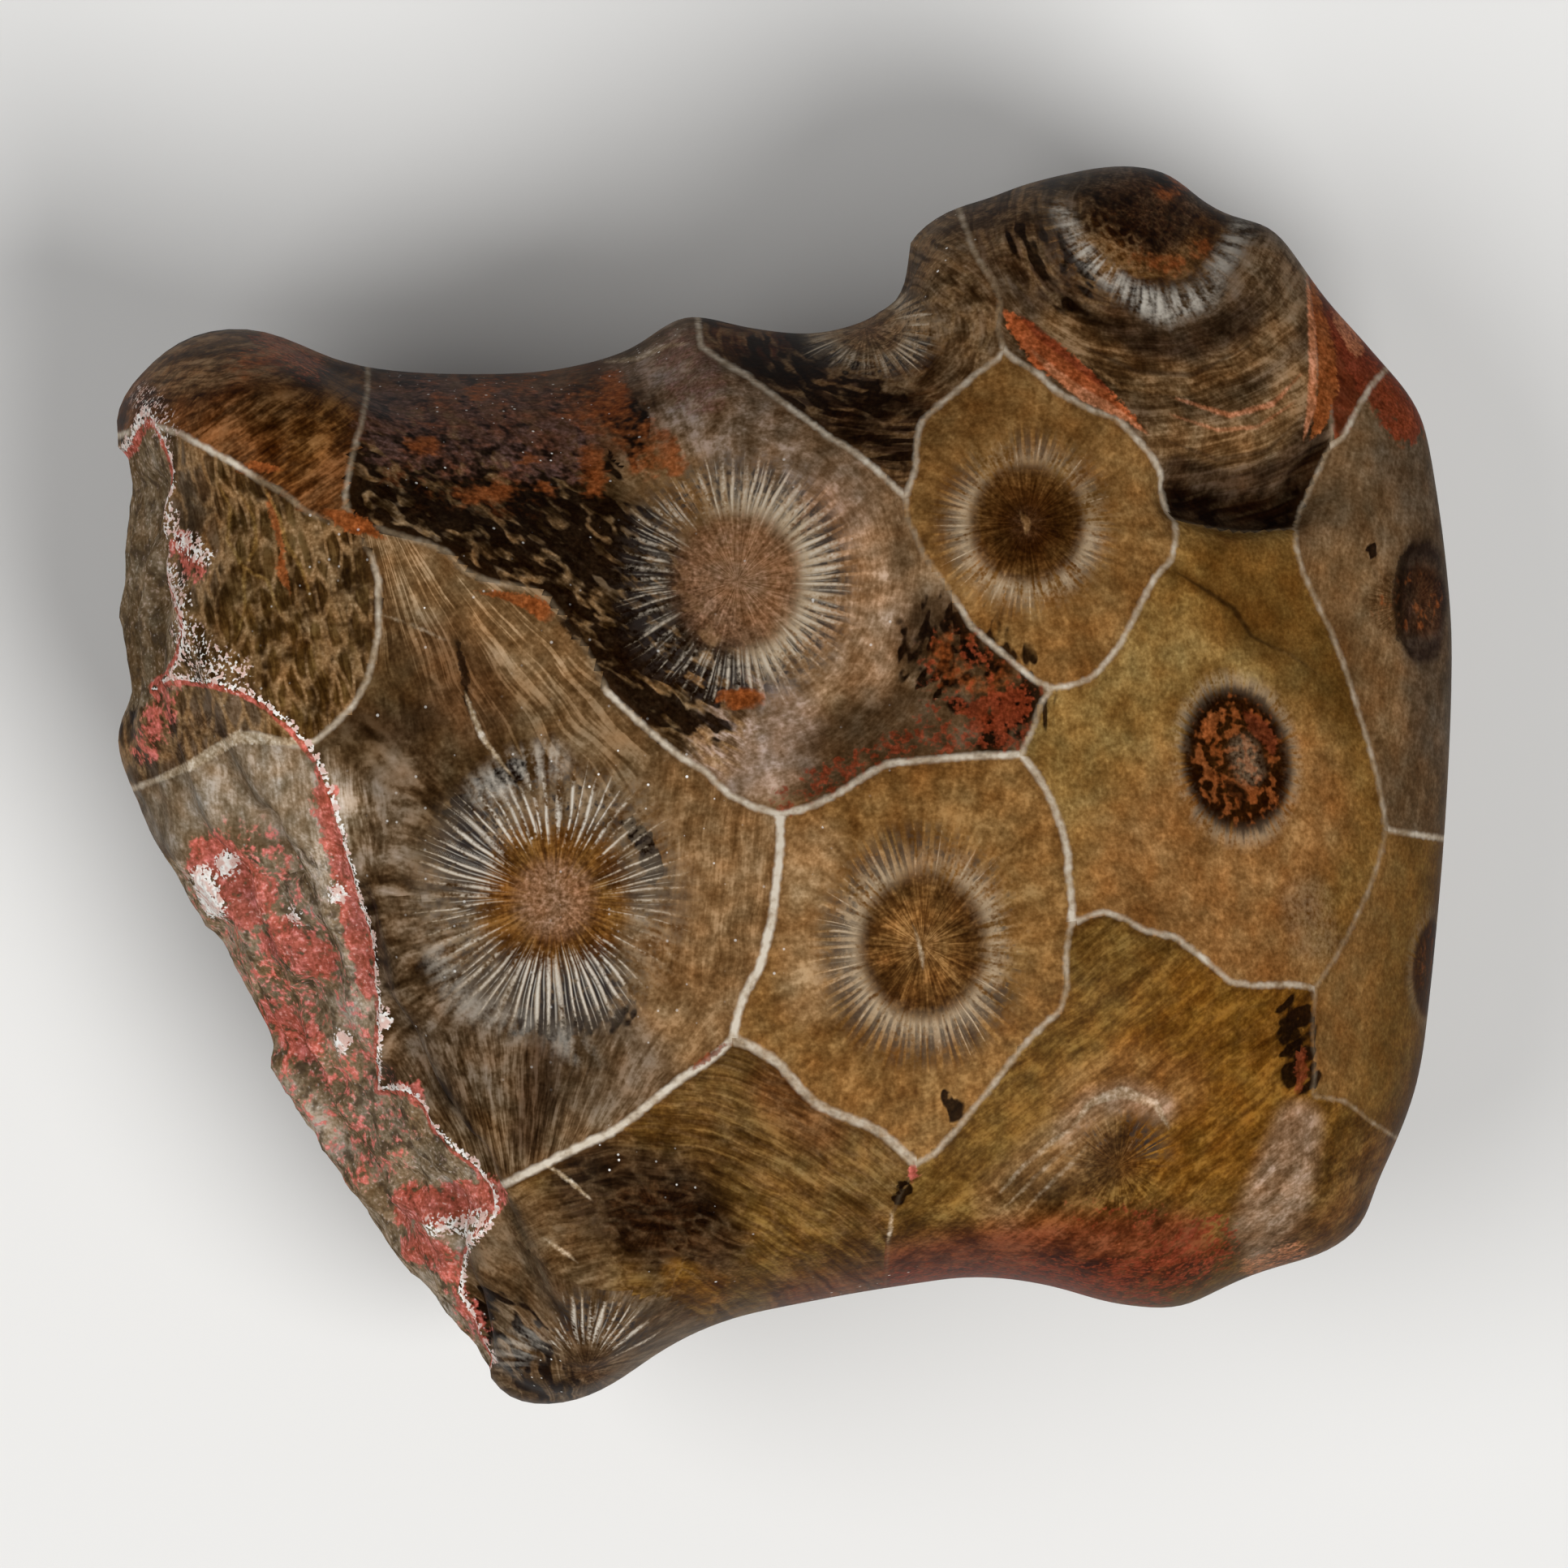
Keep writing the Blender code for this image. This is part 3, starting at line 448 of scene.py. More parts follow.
# Marks on the front, by kind. Red, coral, orange, dark, pink, frost and pale ones are patches. Darkening
# ones follow a dark crack in cell c and are painted shade on the break by the left edge, and sparkle gives
# painted glints as specks. Combed, netted, motley and streaked ones strengthen what is in a cell, faint
# ones weaken its rays, and one kind weakens the halo on a cup's side away from the light, as painted shade.
MARKS = {
    "red": [
        Mark(0.80, 16, 16, [(1655, 400), (1690, 460), (1730, 520)]),
        Mark(0.50, 10, 20, [(330, 415), (366, 440), (380, 452)]),
        Mark(0.30, 40, 40, [(1190, 820), (1240, 880), (1180, 905)], "behind_ridge"),
        Mark(0.75, 16, 20, [(1215, 880), (1250, 866)]),
        Mark(0.38, 12, 20, [(970, 985), (1020, 960), (1100, 920), (1160, 905)]),
        Mark(0.46, 16, 40, [(1120, 1594), (1250, 1584), (1340, 1584), (1420, 1578), (1490, 1530)]),
        Mark(0.22, 12, 30, [(1330, 1500), (1440, 1510)]),
    ],
    "coral": [
        Mark(0.55, 6, 10, [(1650, 390), (1672, 430)]),
        Mark(0.35, 8, 26, [(330, 420), (390, 450)]),
        Mark(0.12, 2, 18, [(1130, 1545), (1210, 1522), (1290, 1512)]),
        Mark(0.12, 2, 16, [(1300, 1560), (1380, 1530), (1450, 1520)]),
        Mark(0.40, 6, 20, [(1540, 1560), (1600, 1540)]),
    ],
    "orange": [
        Mark(0.60, 10, 20, [(1700, 470), (1735, 530)]),
        Mark(0.45, 8, 20, [(300, 450), (336, 440)]),
        Mark(0.24, 30, 30, [(1180, 810), (1220, 860)], "behind_ridge"),
        Mark(0.9, 8, 7, [(900, 860), (930, 860)]),
        Mark(0.20, 24, 30, [(540, 470), (640, 470), (700, 480)]),
        Mark(0.14, 50, 40, [(520, 560), (640, 570)]),
        Mark(0.46, 5, 14, [(1400, 318), (1446, 330), (1484, 306)]),
        Mark(0.45, 6, 14, [(1436, 232), (1452, 226)]),
        Mark(0.70, 8, 12, [(756, 470), (764, 506)]),
        Mark(0.65, 8, 12, [(730, 560), (733, 600)]),
        Mark(0.50, 16, 26, [(720, 500), (770, 520), (800, 560)]),
        Mark(0.75, 7, 10, [(514, 547), (530, 548)]),
        Mark(0.75, 6, 10, [(586, 484), (596, 480)]),
        Mark(0.80, 6, 10, [(575, 610), (622, 608)]),
        Mark(0.75, 5, 10, [(672, 600)]),
        Mark(0.75, 5, 10, [(650, 565)]),
        Mark(0.80, 8, 10, [(818, 540), (832, 575)]),
    ],
    "dark": [
        Mark(0.62, 12, 20, [(1596, 1250), (1604, 1325)]),
        Mark(0.7, 4, 6, [(1118, 1462), (1108, 1480)]),
        Mark(0.72, 5, 16, [(556, 1006), (590, 968), (640, 948)]),
        Mark(0.85, 6, 12, [(778, 1018), (800, 1050), (806, 1076)]),
        Mark(0.62, 6, 16, [(640, 1258), (700, 1270), (770, 1246)]),
        Mark(0.40, 26, 24, [(606, 1616), (640, 1650), (676, 1700)], "tip"),
        Mark(0.7, 5, 6, [(1689, 677)]),
        Mark(0.50, 40, 50, [(1170, 800), (1230, 860)]),
        # Painted shade on the left of the cup behind the ridge, the side away from the light.
        Mark(0.62, 20, 40, [(770, 770), (820, 840), (862, 876)], "behind_ridge"),
        Mark(0.58, 70, 50, [(500, 600), (620, 640), (740, 710), (830, 820)], "behind_ridge"),
        Mark(0.34, 50, 40, [(480, 500), (600, 520), (720, 560)], "behind_ridge"),
        Mark(0.45, 30, 40, [(960, 450), (1060, 510), (1110, 540)], "notch"),
        Mark(0.40, 20, 30, [(1270, 300), (1320, 350)], "lobe"),
        Mark(0.80, 10, 14, [(770, 500), (790, 540)]),
        Mark(0.45, 20, 30, [(1000, 470), (1080, 520)]),
        Mark(0.7, 4, 10, [(1170, 1345), (1176, 1370)]),
    ],
    # Darkening: the first three follow the dark crack in cell c, the last two are painted shade on the
    # break by the left edge.
    "smudge": [
        Mark(0.60, 2, 12, [(1443, 701), (1484, 726), (1520, 750), (1541, 783), (1570, 798)]),
        Mark(0.45, 6, 30, [(1520, 740), (1541, 783), (1580, 806), (1623, 830)]),
        Mark(0.30, 30, 60, [(1530, 700), (1590, 770), (1640, 840)]),
        Mark(0.26, 20, 20, [(168, 560), (172, 700), (168, 840)]),
        Mark(0.26, 8, 30, [(330, 1200), (380, 1330), (470, 1420)]),
    ],
    "combed": [
        Mark(1.0, 90, 40, [(480, 700), (600, 760), (720, 880)], "big"),
        Mark(0.6, 30, 50, [(620, 1420), (690, 1340)]),
        Mark(0.36, 60, 60, [(720, 1410), (900, 1420), (1020, 1500)], "dark_patch"),
        Mark(0.60, 40, 50, [(720, 1420), (800, 1410), (880, 1420)], "dark_patch"),
        Mark(0.5, 60, 50, [(520, 600), (640, 660), (760, 740), (840, 860)], "behind_ridge"),
        Mark(0.2, 40, 50, [(870, 1000), (900, 1130), (870, 1230)]),
        Mark(1.0, 34, 24, [(606, 1616), (640, 1650), (676, 1700)], "tip"),
    ],
    "netted": [
        Mark(1.1, 80, 40, [(520, 610), (640, 670), (740, 730), (790, 790), (840, 870)], "behind_ridge"),
        Mark(0.7, 40, 50, [(1250, 280), (1340, 320)]),
    ],
    "motley": [
        Mark(0.9, 50, 40, [(500, 500), (640, 530), (760, 520)]),
        Mark(0.8, 40, 40, [(1180, 820), (1230, 880)]),
        Mark(0.6, 60, 50, [(330, 640), (380, 760), (340, 880)], "left"),
        Mark(0.6, 40, 50, [(1300, 430), (1440, 480), (1580, 450)], "lobe"),
        Mark(1.0, 50, 50, [(820, 460), (900, 540)]),
        Mark(0.8, 40, 50, [(220, 450), (320, 470), (420, 520)]),
        Mark(1.0, 30, 50, [(1120, 1540), (1300, 1510), (1460, 1520)]),
        Mark(0.7, 40, 50, [(1620, 1480)]),
        Mark(1.0, 80, 50, [(520, 600), (640, 660), (760, 740), (840, 860)], "behind_ridge"),
        Mark(1.3, 60, 40, [(1290, 260), (1412, 262), (1530, 300)]),
        Mark(1.2, 60, 60, [(520, 1000), (500, 1150), (560, 1290)]),
        Mark(0.8, 50, 50, [(760, 1470), (830, 1500)], "dark_patch"),
    ],
    "streaked": [
        Mark(1.5, 84, 40, [(520, 600), (640, 660), (760, 740), (840, 870)], "behind_ridge"),
        Mark(1.0, 50, 40, [(480, 500), (640, 520), (780, 540)], "behind_ridge"),
        Mark(1.5, 60, 50, [(470, 960), (460, 1100), (520, 1280), (620, 1380)], "big"),
        Mark(1.0, 60, 50, [(620, 1380), (760, 1340)], "big"),
    ],
    "faint": [
        Mark(0.30, 50, 30, [(540, 1130), (580, 1220)]),
        Mark(0.85, 30, 30, [(640, 1700), (722, 1720), (840, 1700)]),
        Mark(0.80, 34, 30, [(600, 1660), (640, 1610)]),
        Mark(1.00, 50, 40, [(1310, 1500), (1460, 1500)]),
        Mark(0.40, 40, 30, [(800, 1040), (810, 1180)]),
        Mark(0.9, 30, 20, [(1500, 190), (1340, 190)]),
    ],
    "pale": [
        Mark(0.22, 12, 30, [(1608, 1110), (1620, 1160)]),
        Mark(0.28, 10, 14, [(1532, 924), (1540, 950)]),
    ],
    "pink": [
        Mark(0.45, 40, 40, [(500, 520), (600, 530), (680, 540)]),
        Mark(0.50, 20, 30, [(840, 440), (860, 480)]),
    ],
    "frost": [
        Mark(0.85, (1, 4, 6), 16, [(1306, 258), (1340, 318), (1385, 356), (1424, 382)]),
        Mark(0.98, (4, 10, 3), 18, [(1390, 360), (1436, 380), (1484, 366)]),
        Mark(0.65, 3, 18, [(1484, 366), (1504, 326), (1530, 282)]),
        Mark(0.62, 5, 30, [(600, 975), (640, 946), (676, 936)]),
        Mark(0.40, 6, 26, [(628, 1668), (650, 1652)], "tip"),
        Mark(0.30, 6, 20, [(690, 1280), (720, 1300)]),
        Mark(0.35, 6, 20, [(540, 1180), (570, 1236), (640, 1262)]),
    ],
    # Painted shade: where these lie, a cup's halo is weaker on its side away from the light.
    "shaded_halo": [
        Mark(0.92, 70, 30, [(790, 620), (790, 760), (850, 850)]),
        Mark(0.50, 30, 30, [(1180, 560), (1265, 530), (1350, 600)]),
        Mark(0.60, 30, 30, [(1137, 1050)]),
    ],
    # Painted glints: specks where tiny crystals catch the light.
    "sparkle": [
        Mark(0.9, 10, 24, [(480, 464), (540, 480), (700, 490), (820, 420)]),
        Mark(0.6, 40, 60, [(540, 540), (700, 520)]),
        Mark(0.6, 20, 40, [(540, 740), (560, 780)]),
        Mark(0.55, 40, 50, [(700, 940), (860, 1000), (880, 1050)]),
        Mark(0.5, 60, 60, [(800, 1440), (860, 1520)]),
        Mark(0.6, 30, 50, [(1130, 330), (1160, 280)]),
        Mark(0.6, 16, 30, [(560, 1600), (620, 1680), (700, 1700)]),
        Mark(0.6, 10, 20, [(1000, 1590), (1120, 1575)]),
        Mark(0.40, 400, 200, [(700, 900)]),
    ],
}

# Thin lines and small shapes with a clear edge on the front: colour, strength, half widths spread along
# the line, and the line
Vein = namedtuple("Vein", "colour strength widths points")
SHAPES = [
    Vein("rust", 1.0, (1, 10, 12, 8, 1), [(396, 628), (418, 638), (436, 645), (454, 652), (472, 664)]),
    Vein("rust", 1.0, (1, 5, 8, 12, 9), [(590, 730), (620, 734), (645, 740), (666, 750), (676, 762)]),
    Vein("flame", 0.95, (1, 12, 20, 17, 9, 1),
         [(1236, 380), (1256, 404), (1286, 434), (1326, 464), (1366, 494), (1414, 532)]),
    Vein("rust", 1.0, (1, 6, 11, 12, 9, 1),
         [(1612, 326), (1624, 380), (1634, 430), (1636, 480), (1626, 520), (1614, 542)]),
    Vein("rust", 0.9, (0.5, 5, 4, 0.5), [(330, 606), (336, 634), (344, 662), (350, 684)]),
    Vein("rust", 0.9, (0.5, 5, 5, 0.5), [(346, 676), (346, 696), (350, 716), (358, 730)]),
    Vein("rust", 0.8, (1, 7, 1), [(296, 572), (318, 576), (346, 578)]),
    Vein("rust", 1.0, (4, 11, 4), [(892, 858), (914, 860), (938, 860)]),
    Vein("maroon", 0.8, (1, 4, 3, 1), [(852, 1318), (870, 1304), (886, 1294), (900, 1284)]),
    Vein("brick", 1.0, (2, 8, 2), [(1126, 1436), (1125, 1446), (1122, 1456)]),
    Vein("soot", 0.9, (1, 7, 8, 4, 1),
         [(1590, 1236), (1590, 1256), (1596, 1276), (1602, 1296), (1602, 1310)]),
    Vein("maroon", 0.85, (1, 6, 8, 5, 1),
         [(1600, 1284), (1603, 1300), (1604, 1318), (1602, 1336), (1598, 1350)]),
    Vein("soot", 0.9, (2, 7, 2), [(686, 760), (704, 773), (722, 788)]),
    Vein("soot", 0.9, (1, 5, 4, 1), [(562, 786), (572, 828), (576, 866), (590, 900)]),
    Vein("rust", 0.8, (1, 7, 8, 2), [(1508, 870), (1497, 886), (1490, 900), (1488, 918)]),
    Vein("rust", 0.7, (1, 7, 5, 1), [(1484, 934), (1487, 948), (1498, 960), (1510, 964)]),
    Vein("rust", 0.6, (1, 6, 1), [(1558, 968), (1568, 982), (1571, 998)]),
    Vein("soot", 0.8, (1, 8, 6, 1), [(1508, 962), (1520, 972), (1532, 980), (1530, 1000)]),
    Vein("maroon", 0.8, (2, 11, 10, 2), [(1532, 876), (1548, 894), (1564, 912), (1570, 932)]),
    Vein("soot", 0.8, (1, 5, 6, 5, 1), [(1746, 664), (1728, 690), (1721, 736), (1726, 786), (1744, 816)]),
    Vein("soot", 1.0, (1, 3, 3, 1), [(1098, 1478), (1108, 1466), (1116, 1458), (1120, 1450)]),
]
THREADS = [
    Vein("blood", 0.75, (1, 6, 5, 4, 1), [(1254, 386), (1282, 412), (1314, 438), (1346, 464), (1372, 486)]),
    Vein("coral", 0.9, (1, 5, 7, 6, 2, 1),
         [(1270, 430), (1298, 458), (1334, 486), (1366, 502), (1396, 520), (1416, 536)]),
    Vein("coral", 0.9, (0.5, 4, 5, 5, 0.5),
         [(1610, 340), (1616, 400), (1618, 450), (1616, 500), (1606, 544)]),
    Vein("coral", 0.75, (0.5, 3, 3, 0.5), [(1604, 460), (1568, 498), (1516, 512), (1440, 488)]),
    Vein("coral", 0.50, (0.5, 2, 2, 0.5), [(1600, 492), (1550, 526), (1500, 530), (1440, 510)]),
    Vein("fawn", 0.60, (0.5, 3, 3, 0.5), [(1300, 420), (1380, 476), (1460, 486), (1560, 440)]),
    Vein("pitch", 0.60, (0.5, 3, 3, 0.5), [(1330, 424), (1400, 458), (1470, 462), (1550, 420)]),
    Vein("pitch", 0.50, (0.5, 3, 3, 0.5), [(1430, 540), (1500, 566), (1560, 556), (1610, 510)]),
    Vein("soot", 0.60, (0.5, 2, 3, 2, 0.5),
         [(1443, 701), (1484, 726), (1520, 750), (1541, 783), (1572, 800)]),
    Vein("pitch", 0.35, (0.5, 2, 2, 0.5), [(1560, 794), (1590, 806), (1625, 832)]),
    Vein("cream", 0.90, (0.5, 2, 2, 0.5), [(673, 1436), (690, 1446), (708, 1460), (730, 1480)]),
    Vein("cream", 0.70, (0.5, 2, 0.5), [(668, 1524), (688, 1538), (710, 1553)]),
    Vein("cream", 0.60, (0.5, 2, 0.5), [(1099, 1492), (1097, 1514), (1093, 1534)]),
    Vein("cream", 0.70, (0.5, 3, 3, 2, 0.5), [(572, 850), (584, 884), (594, 908), (613, 934), (634, 960)]),
    Vein("cream", 0.35, (0.5, 1.5, 0.5), [(465, 756), (508, 770), (552, 790)]),
    Vein("cream", 0.60, (0.5, 2, 2, 0.5), [(1125, 1140), (1132, 1160), (1136, 1178), (1137, 1196)]),
    Vein("fawn", 0.80, (1, 5, 4, 1), [(1257, 632), (1263, 640), (1266, 646), (1264, 658)]),
    Vein("cream", 0.45, (0.5, 3, 3, 0.5), [(740, 446), (782, 443), (815, 428), (850, 422)]),
    Vein("honey", 0.70, (0.5, 2, 2, 0.5), [(325, 600), (344, 636), (352, 668), (372, 700), (384, 740)]),
    Vein("honey", 0.60, (0.5, 2, 2, 0.5),
         [(292, 600), (314, 640), (316, 670), (300, 704), (302, 750), (292, 785)]),
    Vein("honey", 0.55, (0.5, 2, 2, 0.5),
         [(262, 585), (284, 624), (280, 664), (300, 700), (330, 716), (346, 760)]),
    Vein("cream", 0.75, (2, 6, 7, 5, 2), [(186, 964), (235, 943), (293, 908), (342, 914), (388, 914)]),
    Vein("cream", 0.42, (1, 4, 7, 5, 1),
         [(1318, 1392), (1344, 1358), (1384, 1345), (1424, 1360), (1440, 1390)]),
    Vein("cream", 0.32, (0.5, 2, 3, 1), [(1228, 1474), (1262, 1436), (1300, 1404), (1330, 1384)]),
    Vein("cream", 0.28, (0.5, 2, 2, 1), [(1240, 1486), (1276, 1450), (1312, 1416), (1338, 1396)]),
    Vein("cream", 0.28, (0.5, 2, 2, 1), [(1262, 1492), (1296, 1456), (1326, 1428), (1342, 1408)]),
]

# The polished surface ends on the left along this line, and the break lies beyond it
BREAK_LINE = [
    (150, 560), (182, 504), (192, 524), (207, 553), (215, 586), (205, 627), (201, 647), (211, 713),
    (221, 741), (231, 770), (223, 811), (203, 836), (188, 848), (207, 836), (235, 836), (272, 840),
    (305, 852), (330, 868), (354, 889), (375, 912), (391, 934), (404, 966), (418, 1009), (424, 1035),
    (433, 1065), (445, 1112), (458, 1148), (463, 1178), (463, 1211), (470, 1251), (467, 1300),
    (467, 1343), (483, 1339), (504, 1343), (522, 1361), (533, 1389), (561, 1414), (586, 1432),
    (597, 1450), (608, 1464), (613, 1482), (604, 1507), (583, 1528), (572, 1550), (568, 1593),
    (583, 1618), (594, 1650), (611, 1675),
]
BREAK_OUTSIDE = [(560, 1820), (60, 1500), (60, 560)]

# The two steep cuts of the break, as the solid has them, for the sides that the camera doesn't see
CUTS = [((-17.50, -7.35), (-0.866, -0.500), 0.52), ((-21.20, 6.00), (-0.998, -0.060), 0.27)]
CUT_NEAR = (-1.25, -0.75)      # a point of the surface this close to a cut's plane lies on the break

# Marks on the break, by kind: cut grooves, patches of brick red and raised white crystals
BREAK_MARKS = {
    "groove": [
        Mark(1.0, 5, 14, [(326, 1012), (340, 1050), (352, 1078)]),
        Mark(0.9, 5, 14, [(332, 1095), (345, 1120), (349, 1145)]),
        Mark(1.0, 7, 16, [(375, 1228), (388, 1270), (395, 1310), (411, 1343)]),
        Mark(0.8, 6, 20, [(270, 1150), (300, 1230), (330, 1290)]),
        Mark(0.7, 6, 20, [(400, 1390), (450, 1440), (500, 1460)]),
        Mark(0.7, 6, 16, [(180, 600), (190, 680), (185, 740)]),
    ],
    "brick": [
        Mark(0.85, 26, 20, [(262, 1065), (300, 1110)]),
        Mark(0.80, 18, 20, [(345, 1160), (385, 1185)]),
        Mark(0.95, 8, 12, [(398, 980), (408, 1040), (420, 1090), (432, 1130), (444, 1190), (448, 1220)]),
        Mark(0.70, 14, 20, [(325, 1255), (365, 1290)]),
        Mark(0.95, 16, 14, [(500, 1490), (545, 1487), (600, 1474)]),
        Mark(0.80, 12, 14, [(510, 1536), (545, 1556)]),
        Mark(0.70, 7, 14, [(225, 670), (240, 700)]),
        Mark(0.50, 10, 16, [(180, 925), (195, 880), (205, 850)]),
        Mark(0.26, 50, 40, [(290, 1080), (370, 1240), (440, 1400)]),
        Mark(0.80, 8, 8, [(505, 1340), (512, 1352)]),
        Mark(0.60, 8, 14, [(560, 1590), (590, 1640)]),
    ],
    "crystal": [
        Mark(0.55, 6, 12, [(228, 668), (250, 684)]),
        Mark(0.55, 6, 12, [(530, 1512), (590, 1504)]),
        Mark(1.0, 10, 10, [(279, 1065)]),
        Mark(0.9, 8, 12, [(246, 1085), (262, 1120)]),
        Mark(0.8, 6, 10, [(357, 1133)]),
        Mark(0.8, 7, 10, [(413, 1103)]),
        Mark(0.8, 7, 10, [(473, 1256)]),
        Mark(0.8, 7, 10, [(419, 1284)]),
        Mark(0.8, 6, 10, [(576, 1525)]),
        Mark(0.34, 10, 24, [(226, 780), (250, 810), (290, 832)]),
        Mark(0.40, 6, 16, [(206, 700), (224, 745)]),
        Mark(0.45, 6, 10, [(205, 620), (212, 650)]),
        Mark(0.20, 12, 20, [(180, 490), (200, 530)]),
    ],
}

# The smooth old facet within the break, small nicks at the notch, and the trough at the dark band
FACET = Mark(1.0, 46, 40, [(190, 930), (285, 890), (350, 930), (370, 980), (230, 1000)])
NICKS = [
    Mark(0.25, 5, 8, [(1100, 372), (1112, 350)]),
    Mark(0.25, 5, 8, [(1116, 335), (1124, 315)]),
]
TROUGH = Mark(1.0, 12, 26, [(1450, 610), (1520, 632), (1590, 622), (1640, 566)])

# The break's relief in millimetres
ROUGH_SINK = 0.16              # how far the fine relief lies below the solid's surface
ROUGH_RELIEF = ((1.5, 0.20), (0.62, 0.12), (0.30, 0.05))     # size and height of its lumps
LUMP_SHIFT = (7.3, -3.1, 5.7)  # how far apart in the noise one set of lumps lies from the next
BREAK_GRAIN = np.array([1.0, 0.62, 0.85])      # the lumps are longer along the stone
GROOVE_DEPTH = 0.45
CRYSTAL_HEIGHT = 0.14
TROUGH_DEPTH = 0.30
BOUNDARY_HEIGHT = 0.16
BOUNDARY_LUMPS = (0.35, 9)     # the size of the lumps along the raised edge, and the number of their set
BOUNDARY_REACH = (3.0, 12.0)   # pixels from the edge over which it falls off
FACET_CALM = 0.8               # how much of the relief the facet lacks
FACET_POLISH = 0.85            # and how much of the roughness
FLAT_SPOT = 0.02               # what lies lower than this stays where it is

# Where one thing gives way to another
BREAK_EDGE = (-3.0, 5.0)       # pixels past the break's line over which the polish ends
FRONT_EDGE = 0.3               # the break's edge follows its line where the surface is this much front
EDGE_REACH = 0.5               # millimetres from the break's edge beyond which it doesn't matter how far
# The sides get painted shade: they turn darker over the upward parts of the normal below.
SIDE_TILT = (0.10, 0.75)       # over these upward parts of the normal the sides turn darker
SIDE_PAINTED_SHADE = 0.38
VEIN_TAPER = 0.05              # the part of a vein's line over which its ends fade
SEAM_FADE = (0.0, 0.3)         # where fibres turn they are faint over this much of the turn's cover

# Fibres
FLOW_RADIUS = 3.0              # millimetres from a cup's middle where its fibres have their true scale
FAN_RADIUS = 7.0               # the same for a fan from a point of its own
SEED_STEP = 3.7                # sets each cell's noise apart from the next cell's

# In radii of a cup's disc: where the disc ends, where its middle's tone turns to its rim's, where its
# orange ends, and how far inside their inner radius rays begin
DISC_EDGE = (0.70, 1.30)
DISC_TONES = (0.35, 0.85)
ORANGE_EDGE = (0.70, 1.05)
RAY_LEAD = 0.16
# In radii of the core, where it ends, and in the halo's inner radius, where the halo begins
CORE_EDGE = (0.70, 1.30)
HALO_START = (0.85, 1.10)
# In parts of a halo's or ray's own length, where it is full and where it starts to fade
HALO_FADE = 0.20
RAY_SPAN = (0.32, 0.45)
GAP_SPAN = (0.35, 0.50)

# The material's noises: waves a millimetre, detail and roughness
NOISES = {
    "cloud": (0.6, 1.0, 0.5),
    "blotch": (1.6, 2.0, 0.65),
    "mottle": (3.6, 1.0, 0.6),
    "grain": (8.0, 1.0, 0.6),
    "warm": (1.1, 1.0, 0.6),
}
CRUMBS = (4.2, 2.0, 0.65)      # the noise of the relief that is finer than the mesh
SWAY = (0.8, 0.0, 0.5)         # the noise that bends the fibres, and by how many millimetres
SWAY_REACH = 0.24
# Noises drawn out along the fibres: waves a millimetre across and along them, detail and roughness
HAIRS = {
    "broad": (1.5, 0.30, 1.0, 0.6),
    "fine": (4.4, 0.75, 2.0, 0.75),
    "strand": (8.0, 0.30, 1.0, 0.5),
    "fleck": (3.2, 1.30, 1.0, 0.5),
}
BLISTER = (2.6, 0.85)          # blisters a millimetre across the fibres and along them
BLISTER_WALL = (0.03, 0.20)    # in blisters, where the pale wall round one starts to fade and ends
# Noises in streaks out from a cup: how fine they are round it and along, an offset and detail
SPOKES = {
    "sector": (1.3, 0.20, 5.0, 0.0),
    "fine": (14.0, 0.90, 4.0, 1.0),
    "bend": (2.4, 0.25, 7.0, 0.0),
    "waver": (7.0, 0.70, 3.0, 0.0),
}
SPOKE_ROUGHNESS = 0.6
SPECKS = 3.4                   # cells a millimetre that may hold a speck
SPECK_SIZE = (0.05, 0.15)      # in cells, the smallest speck and how much more the largest has
RAY_SHIFT = 0.30               # how far off the middle of its room a ray may stand
RAY_ROOM = 0.42                # the most of its room that it fills
# In millimetres: where a wall's edge starts inside its outline and ends outside it, how wide the darker
# edge beside it is, and over which depths a vein's edge shows
WALL_EDGE = (0.08, 0.07)
WALL_SHADE = 0.30
VEIN_EDGE = (-0.06, 0.05)
# In millimetres from the break's edge: where the red crust starts and ends, how far out the line of
# crystals lies, and over which distances from there it ends
CRUST_START = (0.0, 0.06)
CRUST_END = (0.14, 0.34)
CRYSTAL_LINE = 0.02
CRYSTAL_END = (0.03, 0.15)
TONE_TINT = (0.85, 1.00, 1.28)     # how much a paler tone raises red, green and blue
WARM_TINT = (0.30, -0.10, -0.55)   # and how much a warmer one does
TONE_CAP = 0.70                # above this tone colours turn paler only slowly
TONE_SQUASH = 0.62
POLISH = 0.42                  # roughness of the polished face, and of the break
BREAK_ROUGHNESS = 0.86
POLISH_RELIEF = 0.005          # height in millimetres of the crumbs on each
BREAK_RELIEF = 0.13
SPECULAR = 0.008
MIX_SOCKETS = (0, 6, 7)        # a mix node's inputs for the factor and two colours, and its colour's output
MIX_RESULT = 2

# The scene round the stone: metres, watts, and linear red, green and blue
FLOOR_WIDTH = 3.0
FLOOR_COLOUR = (0.66, 0.655, 0.64)
FLOOR_ROUGHNESS = 0.8
HORIZON = (0.42, 0.42, 0.42)
OVERHEAD = (0.12, 0.12, 0.125)
HORIZON_FADE = (0.02, 0.20)    # over these upward parts of the view the horizon ends
LOOK_AT = Vector((0.0, 0.0, 0.012))
LAMPS = {                      # each lamp's place, width and power
    "key": ((0.26, -0.26, 0.56), 0.36, 4.1),
    "fill": ((-0.34, -0.06, 0.50), 0.44, 2.1),
}
CAMERA_CLIP = (0.01, 10.0)


def smooth_step(value, low, high):
    """Rise from 0 at low to 1 at high with no corners."""
    part = np.clip((value - low) / (high - low), 0.0, 1.0)
    return part * part * (3.0 - 2.0 * part)


